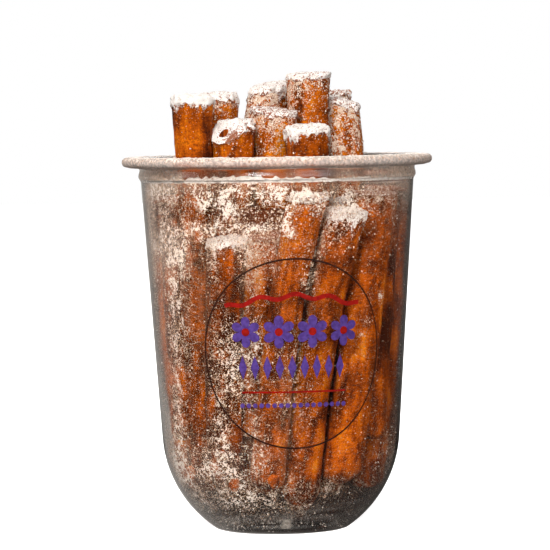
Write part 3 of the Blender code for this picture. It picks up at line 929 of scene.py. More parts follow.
def slanted(fry, offsets, z):
    """Heights of points near the fry's top, which follow its slanted end."""
    near_top = np.clip(1.0 - (fry.top_z - z) / SLANT_LENGTH, 0.0, 1.0)
    drop = float(radius_at(fry, fry.top_z)) * math.hypot(*fry.slant) / 2
    heights = z + near_top * (offsets @ np.array(fry.slant) - drop)
    if fry.name == HOLLOW_FRY:
        past = offsets @ np.array(BREAK_WAY) - BREAK_START
        heights = heights - near_top * BREAK_SLOPE * (0.5 * (past + np.sqrt(past**2 + 0.6)))
    return heights


def set_out(fry, offsets, z, lift=0.0):
    """Points beside a fry's axis, from level offsets and the heights before the end's slant."""
    path, _ = SETTLED[fry.name]
    heights = slanted(fry, offsets, z) + lift
    return np.concatenate([path(z) + offsets, heights[..., None]], axis=-1)


def side_relief(fry, index, turn, z):
    """Radius share of the dough's side: long ridges, lumps and a slightly uneven section; and
    how deep in a groove between ridges each point lies, for painted shade in the grooves.
    """
    rng = rng_for(100 + index)
    radius = FRY_DIAMETER * fry.width / 2
    base = beside_axis(turn, 0.0, radius) + rng.uniform(*STICK_SHIFT, 3)
    up = np.stack([0 * z, 0 * z, z], axis=-1)
    ridges = waves(base + RIDGE_STRETCH * up, RIDGES[1], rng, 36)
    lumps = waves(base + LUMP_STRETCH * up, LUMPS[1], rng)
    dents = waves(base + LUMP_STRETCH * up, DENTS[1], rng)
    twist = rng.uniform(-0.004, 0.004) * z + rng.uniform(0.0, math.tau)
    section = OVAL * np.cos(2 * turn + twist) + FIVE_SIDED * np.cos(5 * turn - twist)
    relief = 1.0 + section + RIDGES[0] * ridges + LUMPS[0] * lumps + DENTS[0] * dents
    return relief, np.clip(0.5 - 0.5 * ridges, 0.0, 1.0)


def foot_slant(index, offsets, z, bottom):
    """How far points near a raised lower end are lifted, as that end is cut unevenly."""
    if bottom < FOOT_SLANT_LENGTH:
        return 0.0 * z
    way = rng_for(900 + index).uniform(-FOOT_SLANT, FOOT_SLANT, 2)
    return (offsets @ way) * (1.0 - smooth_step(bottom, bottom + FOOT_SLANT_LENGTH, z))


def end_face(fry, top, rim):
    """Rows of points from the rim of the cut end to its middle, or down into its hollow."""
    z = np.full(len(rim), top)
    if fry.name == HOLLOW_FRY:
        centre = np.array(HOLLOW_SHIFT)
        mouth = centre + np.array(HOLLOW_RADII) * ways_at(circle(FRY_SIDES))
        rows = [set_out(fry, rim * share + mouth * (1.0 - share), z) for share in (*FACE_SHARES, 0.0)]
        for share, depth in HOLLOW_STEPS:
            rows.append(set_out(fry, centre + (mouth - centre) * share, z, -depth))
    else:
        rows = [set_out(fry, rim * share, z - FACE_SAG * (1.0 - share)) for share in (*FACE_SHARES, 0.01)]
    return np.array(rows)


def fry_points(fry, index):
    """Rows of points up one fry, with the coordinates and values its material reads."""
    path, bottom = SETTLED[fry.name]
    top = dough_top(fry)
    turn = circle(FRY_SIDES)
    body = np.linspace(bottom + BODY_ENDS[0], top + BODY_ENDS[1], FRY_ROWS)
    rows = [(bottom + rise, share) for rise, share in FOOT_ROWS]
    rows += [(z, 1.0) for z in body] + [(top + rise, share) for rise, share in HEAD_ROWS]
    z, share = np.array(rows).T[:, :, None] + 0.0 * turn
    turns = 0.0 * z + turn
    relief, groove = side_relief(fry, index, turns, z)
    length, least = FOOT_TAPERS.get(fry.name, (1.0, 1.0))
    share = share * (least + (1.0 - least) * smooth_step(bottom - 2.0, bottom + length, z))
    radius = radius_at(fry, z) * share * relief
    offsets = radius[..., None] * ways_at(turns)
    points = kept_inside(set_out(fry, offsets, z, foot_slant(index, offsets, z, bottom)), DOUGH_GAP)
    ends = end_face(fry, top, offsets[-1])
    stick_z = np.concatenate([z, np.full((len(ends), FRY_SIDES), top + 2.0)])
    spread = np.concatenate([offsets, ends[..., :2] - path(top)])
    shift = rng_for(100 + index).uniform(*STICK_SHIFT, 3)
    stick = np.concatenate([spread, stick_z[..., None]], axis=-1) + shift
    groove = np.concatenate([groove, np.full((len(ends), FRY_SIDES), 0.5)])
    return np.concatenate([points, ends]), stick, groove, stick_z


def dust_on(fry, z, turn, wander):
    """Share of a fry's side that sugar covers: most just under the cap, and more on the left."""
    from_top = np.maximum(0.0, dough_top(fry) - z)
    side = 1.0 - (0.75 - 0.5 * fry.dust) * np.cos(turn)
    near_top = np.exp(-from_top / THICK_REACH.get(fry.name, 1.4 + 5.0 * fry.dust))
    far = 0.35 + 0.65 * np.exp(-((from_top / 20.0) ** 2))
    dust = fry.dust * far * side * (1.0 + 0.4 * wander) + (0.40 + 0.40 * fry.dust) * near_top
    dust = dust + FOOT_DUST * (1.0 - smooth_step(*FOOT_SHADE_Z, z)) * (1.0 + 0.4 * wander)
    return np.clip(dust, 0.0, 1.0)


def tint_on(fry, z):
    """A fry's tint up its length, with painted shade: a tall one is darker inside the cup than over
    it, and every fry is darker at its lower end.
    """
    most = INNER_SHADES.get(fry.name, INNER_SHADE) if fry.top_z > TALL_Z else 0.0
    shade = most * (1.0 - smooth_step(*INNER_SHADE_Z, z))
    tint = fry.tint - shade - FOOT_SHADE * (1.0 - smooth_step(*FOOT_SHADE_Z, z))
    return tint + TINT_TOPS.get(fry.name, 0.0) * smooth_step(fry.top_z - 30.0, fry.top_z - 12.0, z)


def make_fries(material):
    """All fries as one piece."""
    shapes = []
    values = {"stick": [], "groove": [], "tint": [], "dust": []}
    for index, fry in enumerate(ALL_FRIES):
        rows, stick, groove, stick_z = fry_points(fry, index)
        wander = waves(heights_times(0.5, stick), 9.0, rng_for(300 + index))
        tint = tint_on(fry, rows[..., 2])
        dust = dust_on(fry, stick_z, circle(FRY_SIDES), wander)
        if fry.name == HOLLOW_FRY:
            hollow_rows = len(HOLLOW_STEPS) + 1
            tint[-hollow_rows:], dust[-hollow_rows:] = HOLLOW_TINT, HOLLOW_DUST
        shapes.append(grid(rows))
        for key, value in zip(values, (stick, groove, tint, dust)):
            values[key].append(value)
    values = {key: np.concatenate(parts) for key, parts in values.items()}
    fries = add_piece("fry_bundle", *joined(shapes), material, "fried_dough", values)
    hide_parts("fries")


def make_crumbs(material):
    """Small lumps of dough against the wall near the cup's bottom."""
    shapes, tint = [], []
    rise = np.linspace(-0.5, 0.5, CRUMB_ROWS) * math.pi * 0.998
    rr, tt = np.meshgrid(rise, circle(CRUMB_SIDES), indexing="ij")
    ball = beside_axis(tt, np.sin(rr), np.cos(rr))
    for index, (angle, z, size, shade) in enumerate(CRUMBS):
        lumps = 1.0 + 0.10 * waves(ball * 3.0, 4.0, rng_for(950 + index))
        lumpy = heights_times(1.15, ball * size * lumps[..., None])
        shapes.append(grid(lumpy + wall_frame(angle, z, float(room_at(z)) - size * 1.25)))
        tint.append(np.full(rr.size, shade))
    points, faces = joined(shapes)
    even = np.zeros(len(points))
    values = {"stick": points, "groove": even + 0.5, "tint": np.concatenate(tint), "dust": even + 0.04}
    add_piece("bottom_crumbs", points, faces, material, "fried_dough", values)


def cap_rows(fry, turn, rim_radius, reach):
    """Offsets and heights of a cap's rows: the face, the rounded edge and the hanging side."""
    around = ways_at(turn)
    hollow = fry.name == HOLLOW_FRY
    centre = np.array(HOLLOW_SHIFT) if hollow else np.zeros(2)
    inner = (np.array(HOLLOW_RADII) - 0.05) if hollow else np.array((0.02, 0.02))
    top = dough_top(fry)
    edge = (rim_radius - CAP_ROUNDING)[:, None] * around
    rows = []
    for i in range(CAP_FACE_ROWS):
        share = i / CAP_FACE_ROWS
        rise = fry.cap * (1.0 - (1.0 - CAP_EDGE_SHARE) * share**2)
        if hollow:
            rise *= float(smooth_step(-0.05, 0.30, share))
        offsets = (centre + around * inner) * (1 - share) + edge * share
        rows.append((offsets, np.full_like(turn, top + rise)))
    for i in range(CAP_EDGE_ROWS):
        bend = math.pi / 2 * i / CAP_EDGE_ROWS
        offsets = edge + around * (CAP_ROUNDING + 0.08) * math.sin(bend)
        rows.append((offsets, np.full_like(turn, top + fry.cap * CAP_EDGE_SHARE * math.cos(bend))))
    for i in range(CAP_SIDE_ROWS + 1):
        down = i / CAP_SIDE_ROWS
        tuck = 0.5 * max(0.0, down - 0.85) / 0.15
        lift = 0.05 + 0.12 * math.sin(math.pi * min(1.0, down * 1.3)) - tuck
        rows.append((around * (rim_radius + lift)[:, None], top - reach * down))
    return rows


def cap_points(fry, index):
    """Rows of points over one fry's sugar cap, from its middle out and down the side."""
    path, _ = SETTLED[fry.name]
    rng = rng_for(500 + index)
    turn = circle(CAP_SIDES)
    top = dough_top(fry)
    relief, _ = side_relief(fry, index, turn, np.full_like(turn, top))
    ring = ways_at(turn) * 6.0 + rng.uniform(-50, 50, 2)
    reach = 1.0 + 0.60 * waves(ring, 5.0, rng) + 0.50 * waves(ring, 1.8, rng)
    reach = fry.drip * np.clip(reach, 0.15, 2.4)
    rim_radius = radius_at(fry, top) * relief
    made = np.array([set_out(fry, *row) for row in cap_rows(fry, turn, rim_radius, reach)])
    out = made - np.append(path(top), top - 2.0)
    out /= np.linalg.norm(out, axis=-1)[..., None]
    lumps = 0.28 * waves(made, 2.8, rng, 40) + 0.20 * waves(made, 1.3, rng, 40)
    along = np.arange(len(made))[:, None] / (len(made) - 1)
    fade = smooth_step(1.0, 0.88, along)
    if fry.name == HOLLOW_FRY:
        fade = 1.5 * fade * smooth_step(0.0, 0.12, along)
    made = made + out * (lumps * fade)[..., None]
    made[..., 2] = np.minimum(made[..., 2], CAD_BOX_TOP - 0.05)
    return kept_inside(made, CAP_GAP)


def make_caps(material):
    shapes, bare = [], []
    for index, fry in enumerate(ALL_FRIES):
        rows = cap_points(fry, index)
        along = np.repeat(np.linspace(0.0, 1.0, len(rows)), CAP_SIDES)
        share = fry.bare + 0.75 * smooth_step(0.72, 1.0, along)
        shapes.append(grid(rows, flip=True))
        if fry.name == HOLLOW_FRY:
            middle = SETTLED[fry.name][0](dough_top(fry)) + np.array(BREAK_BARE)
            away = np.linalg.norm(shapes[-1][0][:, :2] - middle, axis=1)
            share += 1.4 * np.exp(-((away / BREAK_BARE_WIDTH) ** 2))
        bare.append(share)
    add_piece("sugar_caps", *joined(shapes), material, attributes={"bare": np.concatenate(bare)})


# Grains


def ball_shape():
    """An icosahedron's points and faces."""
    g = (1 + math.sqrt(5)) / 2
    points = np.array([
        (-1, g, 0), (1, g, 0), (-1, -g, 0), (1, -g, 0), (0, -1, g), (0, 1, g),
        (0, -1, -g), (0, 1, -g), (g, 0, -1), (g, 0, 1), (-g, 0, -1), (-g, 0, 1),
    ], float)
    faces = np.array([
        (0, 11, 5), (0, 5, 1), (0, 1, 7), (0, 7, 10), (0, 10, 11), (1, 5, 9), (5, 11, 4),
        (11, 10, 2), (10, 7, 6), (7, 1, 8), (3, 9, 4), (3, 4, 2), (3, 2, 6), (3, 6, 8),
        (3, 8, 9), (4, 9, 5), (2, 4, 11), (6, 2, 10), (8, 6, 7), (9, 8, 1),
    ])
    return points / math.sqrt(1 + g * g), faces


def stone_shape():
    """A plain six-pointed stone, for the smallest grains."""
    points = np.array([(1, 0, 0), (-1, 0, 0), (0, 1, 0), (0, -1, 0), (0, 0, 1), (0, 0, -1)], float)
    faces = np.array([
        (0, 2, 4), (2, 1, 4), (1, 3, 4), (3, 0, 4), (2, 0, 5), (1, 2, 5), (3, 1, 5), (0, 3, 5),
    ])
    return points, faces


def grain_cloud(shape, places, outward, sizes, rng, flat=0.65):
    """Uneven, slightly flattened grains of one shape at the given places."""
    base, base_faces = shape
    count = len(places)
    turns, _ = np.linalg.qr(rng.normal(size=(count, 3, 3)))
    uneven = 1.0 + rng.uniform(-0.28, 0.28, (count, len(base), 1))
    points = np.einsum("cij,pj->cpi", turns, base) * uneven * sizes[:, None, None]
    along = (points * outward[:, None, :]).sum(axis=-1, keepdims=True)
    points -= outward[:, None, :] * along * (1.0 - flat)
    points += places[:, None, :]
    faces = base_faces[None] + (np.arange(count) * len(base))[:, None, None]
    return points.reshape(-1, 3), faces.reshape(-1, 3)


def grain_sizes(rng, count, least, spread, power):
    return least + spread * rng.uniform(size=count) ** power


def upward(count):
    return np.tile(np.array((0.0, 0.0, 1.0)), (count, 1))


def make_fry_grains(material):
    """Loose sugar grains on the fries' sides and round the edges of their caps."""
    clouds = []
    for index, fry in enumerate(ALL_FRIES):
        rng = rng_for(700 + index)
        turn = rng.uniform(0.0, math.tau, FRY_GRAIN_TRIES)
        z = dough_top(fry) + 0.6 - rng.exponential(5.0 + 14.0 * fry.dust, FRY_GRAIN_TRIES)
        chance = rng.uniform(size=FRY_GRAIN_TRIES)
        keep = (z > SETTLED[fry.name][1] + 3.0) & (chance < 0.004 + 0.36 * fry.dust)
        turn, z = turn[keep], z[keep]
        relief, _ = side_relief(fry, index, turn, z)
        outward = beside_axis(turn, 0.0, 1.0)
        places = set_out(fry, outward[:, :2] * (radius_at(fry, z) * relief)[:, None], z)
        sizes = grain_sizes(rng, len(z), *FRY_GRAIN_SIZES)
        clouds.append(grain_cloud(ball_shape(), kept_inside(places, GRAIN_GAP), outward, sizes, rng))
    add_piece("fry_sugar_grains", *joined(clouds), material)


# Core


def make_core(material):
    """A dark mass inside the bundle, behind the fries, with upright folds: painted shade."""
    rng = rng_for(31)
    zz, tt = np.meshgrid(np.linspace(*CORE_Z, CORE_ROWS), circle(CORE_SIDES), indexing="ij")
    place = beside_axis(tt, 0.15 * zz, 30.0)
    folds = waves(place, 11.0, rng)
    lumps = waves(heights_times(6.0, place), 5.0, rng)
    radius = np.clip(room_at(zz) - (CORE_INSET + 1.6 * folds + 0.7 * lumps), 2.0, None)
    body = beside_axis(tt, zz, radius)
    lids, floors = [], []
    for share in (0.75, 0.5, 0.25, TINY):
        lids.append(body[-1] * np.array((share, share, 1.0)))
        lids[-1][:, 2] += 1.5 * (1 - share) + waves(lids[-1], 6.0, rng)
    for share in (TINY, 0.3, 0.6, 0.85):
        floors.append(body[0] * np.array((share, share, 1.0)))
        floors[-1][:, 2] += 0.8 * waves(floors[-1], 5.0, rng)
    rows = np.concatenate([np.array(floors), body, np.array(lids)])
    add_piece("bundle_inside", *grid(rows), material, "fried_dough")


# Sugar on the cup


def wall_frame(angle_deg, z, radius):
    """Points round the cup's axis, at angles in degrees from the front."""
    return about_axis(np.radians(angle_deg), z, radius)


def wall_grid(heights, sides):
    """Heights and angles in degrees of rows of places round the wall."""
    return np.meshgrid(heights, np.arange(sides) * 360.0 / sides - 180.0, indexing="ij")


def spots_at(spots, angle_deg, z):
    """The sum of soft oval spots at places of the wall."""
    total = np.zeros(np.broadcast(angle_deg, z).shape)
    for at, height, wide, high, strength in spots:
        across = (angle_deg - at + 180.0) % 360.0 - 180.0
        across = np.radians(across) * room_at(height)
        total += strength * np.exp(-(across / wide) ** 2 - ((z - height) / high) ** 2)
    return total


def fry_distance(points):
    """Distance from wall points to the nearest fry's side, and the height over its top."""
    best = np.full(points.shape[:-1], np.inf)
    for fry in ALL_FRIES:
        path, bottom = SETTLED[fry.name]
        z = np.clip(points[..., 2], bottom, fry.top_z - 1.0)
        away = np.linalg.norm(points[..., :2] - path(z), axis=-1) - radius_at(fry, z)
        above = np.maximum(0.0, points[..., 2] - (fry.top_z - 1.0))
        below = np.maximum(0.0, bottom - points[..., 2])
        best = np.minimum(best, np.sqrt(np.maximum(away, 0.0) ** 2 + above**2 + below**2))
    return best


def leftness(angle_deg):
    """1 at the left of the front and 0 at its right, with the back in between."""
    return smooth_step(0.30, 0.74, 0.5 - 0.5 * np.sin(np.radians(angle_deg - 5.0)))


def wall_dust(angle_deg, z):
    """How much sugar lies on the inside of the wall, from 0 to 1."""
    rng = rng_for(41)
    points = wall_frame(angle_deg, z, room_at(z))
    streaks = waves(heights_times(0.22, points), 9.0, rng)
    broad = waves(points, 26.0, rng)
    near = smooth_step(0.6, 3.0, fry_distance(points))
    left = leftness(angle_deg)
    base = 0.06 + 0.09 * left
    base = base * (1.0 + 0.30 * broad + 0.55 * streaks) * (0.85 + 0.25 * near)
    base = base * (0.50 + 0.50 * smooth_step(13.0, 22.0, z))
    base = base + 0.12 * smooth_step(91.0, 101.0, z) * (0.45 + 0.55 * left)
    base = base + 0.15 * smooth_step(100.5, 105.0, z) * (0.5 + 0.5 * left) * (1.0 + 0.5 * streaks)
    base = base + spots_at(DUST_SPOTS, angle_deg, z)
    base = base * (1.0 - np.clip(spots_at(CLEAN_SPOTS, angle_deg, z), 0.0, 0.92))
    return np.clip(base, 0.01, 1.0)


def wall_haze(angle_deg, z):
    """How milky the wall is between its specks, from 0 to 1."""
    points = wall_frame(angle_deg, z, room_at(z))
    streaks = waves(heights_times(0.10, points), 7.0, rng_for(43))
    left = leftness(angle_deg)
    front = smooth_step(-130.0, -110.0, angle_deg)
    edge = smooth_step(-62.0, -84.0, angle_deg) * front
    haze = 0.02 * left + 0.06 * streaks * left + edge * (0.06 + 0.44 * smooth_step(66.0, 84.0, z))
    leftmost = smooth_step(-20.0, -70.0, angle_deg) * front
    haze = haze + (0.22 + 0.34 * leftmost) * smooth_step(101.0, 105.5, z)
    haze = haze + spots_at(HAZE_SPOTS, angle_deg, z)
    haze = haze + 0.08 * spots_at(DUST_SPOTS, angle_deg, z)
    haze = haze * (1.0 - np.clip(spots_at(CLEAN_SPOTS, angle_deg, z), 0.0, 0.9))
    return np.clip(haze, 0.0, 0.75)


def add_film(name, points, dust, haze, material):
    add_piece(name, *grid(points), material, attributes={"dust": dust, "haze": haze})


def make_film(material):
    """The dust on the inside of the wall, up to the step."""
    zz, aa = wall_grid(np.linspace(BOTTOM_FILM_TOP - 0.6, SHOULDER_Z + 0.45, FILM_ROWS), FILM_SIDES)
    points = wall_frame(aa, zz, room_at(zz) - FILM_INSET)
    add_film("wall_dust", points, wall_dust(aa, zz), wall_haze(aa, zz), material)


def make_bottom_film(material):
    """The dust, and grey smears and a spot painted as highlights, on the inside of the bottom,
    below the fries' lower ends.
    """
    zz, aa = wall_grid(np.linspace(PUSH_UP + WALL + 0.3, BOTTOM_FILM_TOP, BOTTOM_FILM_ROWS), FILM_SIDES)
    points = wall_frame(aa, zz, room_at(zz) - FILM_INSET - 0.03)
    smears = waves(points * np.array((0.25, 0.25, 1.5)), 3.0, rng_for(67))
    rise = 1.0 - smooth_step(9.5, BOTTOM_FILM_TOP, zz)
    # The smears and the spots make painted highlights on the bottom.
    haze = (0.07 + 0.08 * smears + spots_at(BOTTOM_SPOTS, aa, zz)) * rise
    dust = wall_dust(aa, zz) * smooth_step(BOTTOM_FILM_TOP, BOTTOM_FILM_TOP - 0.8, zz)
    add_film("bottom_dust", points, dust, np.clip(haze, 0.0, 0.85), material)


def make_neck_film(material):
    """The dust on the inside of the neck, over the step, rubbed off where fries touch it."""
    zz, aa = wall_grid(np.linspace(NECK_BOTTOM_Z - 0.5, CUP_HEIGHT - 1.2, NECK_FILM_ROWS), FILM_SIDES * 2)
    points = wall_frame(aa, zz, NECK_RADIUS - 0.5 + 0.0 * zz)
    patchy = waves(heights_times(0.5, points), 9.0, rng_for(45))
    clean = np.clip(spots_at(NECK_CLEAN_SPOTS, aa, zz), 0.0, 0.95)
    dust = np.clip(0.08 + 0.08 * leftness(aa) + 0.08 * patchy, 0.01, 0.9) * (1.0 - clean)
    aside = smooth_step(30.0, 60.0, np.abs(aa))
    haze = np.clip(0.30 + 0.36 * aside + 0.18 * patchy, 0.08, 0.85) * (1.0 - clean)
    add_film("neck_dust", points, dust, haze, material)


def make_lip_film(material):
    """The milky dust round the lip's edge."""
    over = CUP_HEIGHT + LIP_FILM_LIFT
    r, z = np.array([
        (NECK_RADIUS + 0.6, LIP_BOTTOM_Z), (LIP_RADIUS - 2.4, LIP_BOTTOM_Z + 0.18),
        *lip_arc(LIP_ROUNDING + LIP_FILM_LIFT), (LIP_RADIUS - 2.4, over), (LIP_RADIUS - 4.6, over),
    ]).T
    zz, aa = wall_grid(z, FILM_SIDES * 2)
    points = wall_frame(aa, zz, r[:, None] + 0.0 * aa)
    patchy = waves(points, 6.0, rng_for(49))
    rise = smooth_step(LIP_BOTTOM_Z, CUP_HEIGHT, zz)
    dust = np.clip(0.04 + 0.55 * rise**3 + 0.10 * patchy, 0.01, 1.0)
    haze = np.clip(0.86 + 0.06 * rise + 0.06 * patchy, 0.2, 0.95)
    add_film("lip_dust", points, dust, haze, material)


def make_wall_grains(material):
    """Grains and small clumps that stick to the inside of the wall."""
    rng = rng_for(47)
    angles = rng.uniform(-180.0, 180.0, WALL_GRAIN_TRIES)
    z = rng.uniform(*WALL_GRAINS_Z, WALL_GRAIN_TRIES)
    chance = wall_dust(angles, z)
    keep = rng.uniform(size=WALL_GRAIN_TRIES) < 0.30 * chance**1.2
    angles, z, chance = angles[keep], z[keep], chance[keep]
    sizes = grain_sizes(rng, len(z), *WALL_GRAIN_SIZES) * (0.8 + 0.6 * chance)
    places = wall_frame(angles, z, room_at(z) - sizes * 0.35 - 0.10)
    outward = wall_frame(angles, 0.0 * z, 1.0)
    large = sizes > LARGE_GRAIN
    add_piece("wall_sugar_grains", *joined([
        grain_cloud(ball_shape(), places[large], outward[large], sizes[large], rng, 0.55),
        grain_cloud(stone_shape(), places[~large], outward[~large], sizes[~large] * 1.15, rng, 0.55),
    ]), material)


def make_step_sugar(material):
    """The line of sugar that lies on the step inside the wall."""
    rng = rng_for(53)
    turn = circle(RING_SIDES)
    signed = (np.degrees(turn) + 180.0) % 360.0 - 180.0
    ring = 41.0 * ways_at(turn)
    amount = 0.62 + 0.22 * waves(ring, 14.0, rng) + 0.30 * waves(ring, 2.4, rng)
    amount = amount + 0.55 * np.exp(-((signed + 22.0) / 34.0) ** 2)
    amount = amount - 0.30 * np.exp(-((signed - 58.0) / 30.0) ** 2)
    amount = np.clip(amount, 0.08, 1.5)
    rows = []
    for i in range(STEP_ROWS):
        bend = math.pi * i / (STEP_ROWS - 1)
        r = SHOULDER_RADIUS - WALL + 0.55 - 0.75 * (1 - math.cos(bend)) / 2 * amount
        z = SHOULDER_Z + 0.35 + 0.95 * math.sin(bend) * amount + 0.9 * (1 + math.cos(bend)) / 2
        rows.append(about_axis(turn, z, r))
    rows = np.array(rows)
    rows += 0.10 * waves(rows, 1.2, rng, 40)[..., None]
    add_piece("step_sugar", *grid(rows, flip=True), material)


def lip_top(r):
    """Height of the lip's upper side at this distance from the axis."""
    known_r = [NECK_RADIUS - WALL + 0.12, NECK_RADIUS - WALL + 0.55, LIP_RADIUS - 4.6,
               LIP_RADIUS - 3.4, LIP_RADIUS - 2.0, LIP_RADIUS - 0.6, LIP_RADIUS - 0.1]
    known_z = [CUP_HEIGHT - 0.5, CUP_HEIGHT - 0.1, CUP_HEIGHT, CUP_HEIGHT,
               CUP_HEIGHT - 0.05, LIP_TIP_Z + 0.95, LIP_TIP_Z + 0.5]
    return np.interp(r, known_r, known_z)


def make_lip_sugar(material, grain_material):
    """Frosting and grains on top of the lip."""
    rng = rng_for(59)
    tt, ss = np.meshgrid(circle(RING_SIDES), np.linspace(0.0, 1.0, LIP_ROWS), indexing="xy")
    r = NECK_RADIUS + 0.3 + (LIP_RADIUS - 0.9 - NECK_RADIUS) * ss
    place = r[..., None] * ways_at(tt)
    amount = 0.40 + 0.28 * waves(place, 7.0, rng) + 0.28 * waves(place, 2.0, rng)
    amount = np.clip(amount, 0.0, 1.0) * np.sin(np.pi * np.clip(ss * 0.94 + 0.03, 0, 1)) ** 0.6
    rows = about_axis(tt, lip_top(r) - 0.10 + 0.50 * amount, r)
    add_piece("lip_sugar", *grid(rows, flip=True), material)
    turn = rng.uniform(0, math.tau, LIP_GRAINS)
    r = NECK_RADIUS + 0.2 + (LIP_RADIUS - NECK_RADIUS - 0.5) * rng.uniform(size=LIP_GRAINS) ** 0.8
    sizes = grain_sizes(rng, LIP_GRAINS, *LIP_GRAIN_SIZES)
    places = about_axis(turn, lip_top(r) + 0.08, r)
    cloud = grain_cloud(stone_shape(), places, upward(LIP_GRAINS), sizes, rng)
    add_piece("lip_sugar_grains", *cloud, grain_material)


def make_floor_sugar(material):
    """Sugar and crumbs that have fallen to the floor of the cup."""
    rng = rng_for(61)
    r = FLOOR_SUGAR_RADIUS * np.sqrt(rng.uniform(size=FLOOR_GRAIN_TRIES))
    turn = rng.uniform(0, math.tau, FLOOR_GRAIN_TRIES)
    kept = rng.uniform(size=FLOOR_GRAIN_TRIES) < 0.30 + 0.70 * leftness(np.degrees(turn))
    r, turn = r[kept], turn[kept]
    ball = BALL_CENTRE_Z - np.sqrt(np.clip((BALL_RADIUS - WALL) ** 2 - r**2, 0, None))
    floor = np.where(r < FOOT_RADIUS, PUSH_UP + WALL, ball)
    sizes = grain_sizes(rng, len(r), *FLOOR_GRAIN_SIZES)
    places = about_axis(turn, floor + 0.2 + sizes * 0.5, r)
    cloud = grain_cloud(stone_shape(), places, upward(len(r)), sizes, rng, 0.8)
    add_piece("floor_sugar", *cloud, material)


# Print


def on_wall(u, v):
    """Places on the outside of the wall from sideways and upward distances to the print's centre."""
    z = PRINT_Z + np.asarray(v, float)
    angle = PRINT_ANGLE + np.degrees(np.asarray(u, float) / float(cup_radius(PRINT_Z)))
    return wall_frame(angle, z, cup_radius(z) + PRINT_LIFT)


def ribbon(u, v, width, closed=False):
    """A flat band of the given width along a line of points on the wall."""
    line = np.stack([u, v + 0.0 * u], axis=-1)
    if closed:
        ahead = np.roll(line, -1, axis=0) - np.roll(line, 1, axis=0)
    else:
        ahead = np.gradient(line, axis=0)
    ahead /= np.linalg.norm(ahead, axis=1)[:, None]
    side = np.stack([-ahead[:, 1], ahead[:, 0]], axis=-1) * (width / 2)
    points, quads = grid(np.array([on_wall(*(line + side * share).T) for share in (-1, 0, 1)]), flip=True)
    if not closed:
        columns = quads % len(line)
        quads = quads[~((columns == len(line) - 1).any(axis=1) & (columns == 0).any(axis=1))]
    return points, quads


def blob(u, v, outline):
    """A filled shape about a centre, from its outline's offsets."""
    centre = np.array((u, v))
    return grid(np.array([on_wall(*(centre + outline * share).T) for share in (1.0, 0.66, 0.33, 0.01)]))


def outline_of(kind, size, turned_by=0.0, sides=96):
    """Offsets of a flower, a leaf or a round dot."""
    turn = circle(sides)
    if kind == "flower":
        reach = size * (0.42 + 0.58 * np.abs(np.cos(3 * turn)) ** 0.6)
    elif kind == "leaf":
        reach = size * 0.36 / np.maximum(np.abs(np.sin(turn)) + 0.36 * np.abs(np.cos(turn)), 0.01)
    else:
        reach = np.full_like(turn, size)
    return reach[:, None] * ways_at(turn + turned_by)


def make_print(dark, red, violet):
    """A plain ring with flowers, leaves, a garland and dots in it."""
    ring = PRINT_RADIUS * ways_at(circle(RING_POINTS))
    upright = math.pi / 2
    leaf, dot = outline_of("leaf", LEAF_SIZE, upright), outline_of("dot", DOT_SIZE, 0.0, 20)
    violets = [blob(u, FLOWERS_V, outline_of("flower", size, upright)) for u, size in FLOWERS]
    violets += [blob(u, LEAVES_V, leaf) for u in np.linspace(*LEAVES_U)]
    violets += [blob(u, DOTS_V, dot) for u in np.linspace(*DOTS_U)]
    u = np.linspace(*GARLAND_U)
    v = GARLAND_V - GARLAND_FALL * (u / GARLAND_U[0]) ** 2
    v = v + GARLAND_SWING * np.cos(u * math.tau / GARLAND_LOOP)
    reds = [ribbon(u, v, GARLAND_WIDTH), ribbon(np.linspace(*LINE_U), LINE_V, LINE_WIDTH)]
    centre = outline_of("dot", FLOWER_CENTRE, 0.0, 24)
    points, faces = joined([blob(u, FLOWERS_V, centre) for u, _ in FLOWERS])
    out = heights_times(0.0, points)
    points = points + out / np.linalg.norm(out, axis=1)[:, None] * PRINT_LIFT
    add_piece("print_ring", *ribbon(*ring.T, PRINT_LINE, closed=True), dark, "wall_print")
    add_piece("print_violet", *joined(violets), violet, "wall_print")
    add_piece("print_red", *joined(reds), red, "wall_print")
    add_piece("print_flower_centres", points, faces, red, "wall_print")


# Stage


def add_camera():
    data = bpy.data.cameras.new("camera")
    data.lens = LENS
    data.sensor_width = SENSOR
    data.clip_end = 50.0
    camera = add_object("camera", data)
    eye, aim = Vector(EYE) * MM, Vector(AIM) * MM
    look = (aim - eye).to_track_quat("-Z", "Y").to_matrix().to_4x4()
    camera.matrix_world = Matrix.Translation(eye) @ look @ Matrix.Rotation(math.radians(ROLL_DEG), 4, "Z")
    bpy.context.scene.camera = camera


def mirrored_rays(n):
    """1 for rays that a surface mirrors, and 0 for those that pass through or light it."""
    path = n.node("LightPath").outputs
    return n.maths("SUBTRACT", path["Is Glossy Ray"], path["Is Transmission Ray"], clamp=True)


def surroundings(n, place, far):
    """How bright they are towards a place: brighter behind the object, and most at the left."""
    behind = n.span(n.axis(place, "Y"), far * 0.2, far)
    return n.times(behind, n.span(n.axis(place, "X"), -0.45 * far, 0.45 * far, 0.62, 0.15))


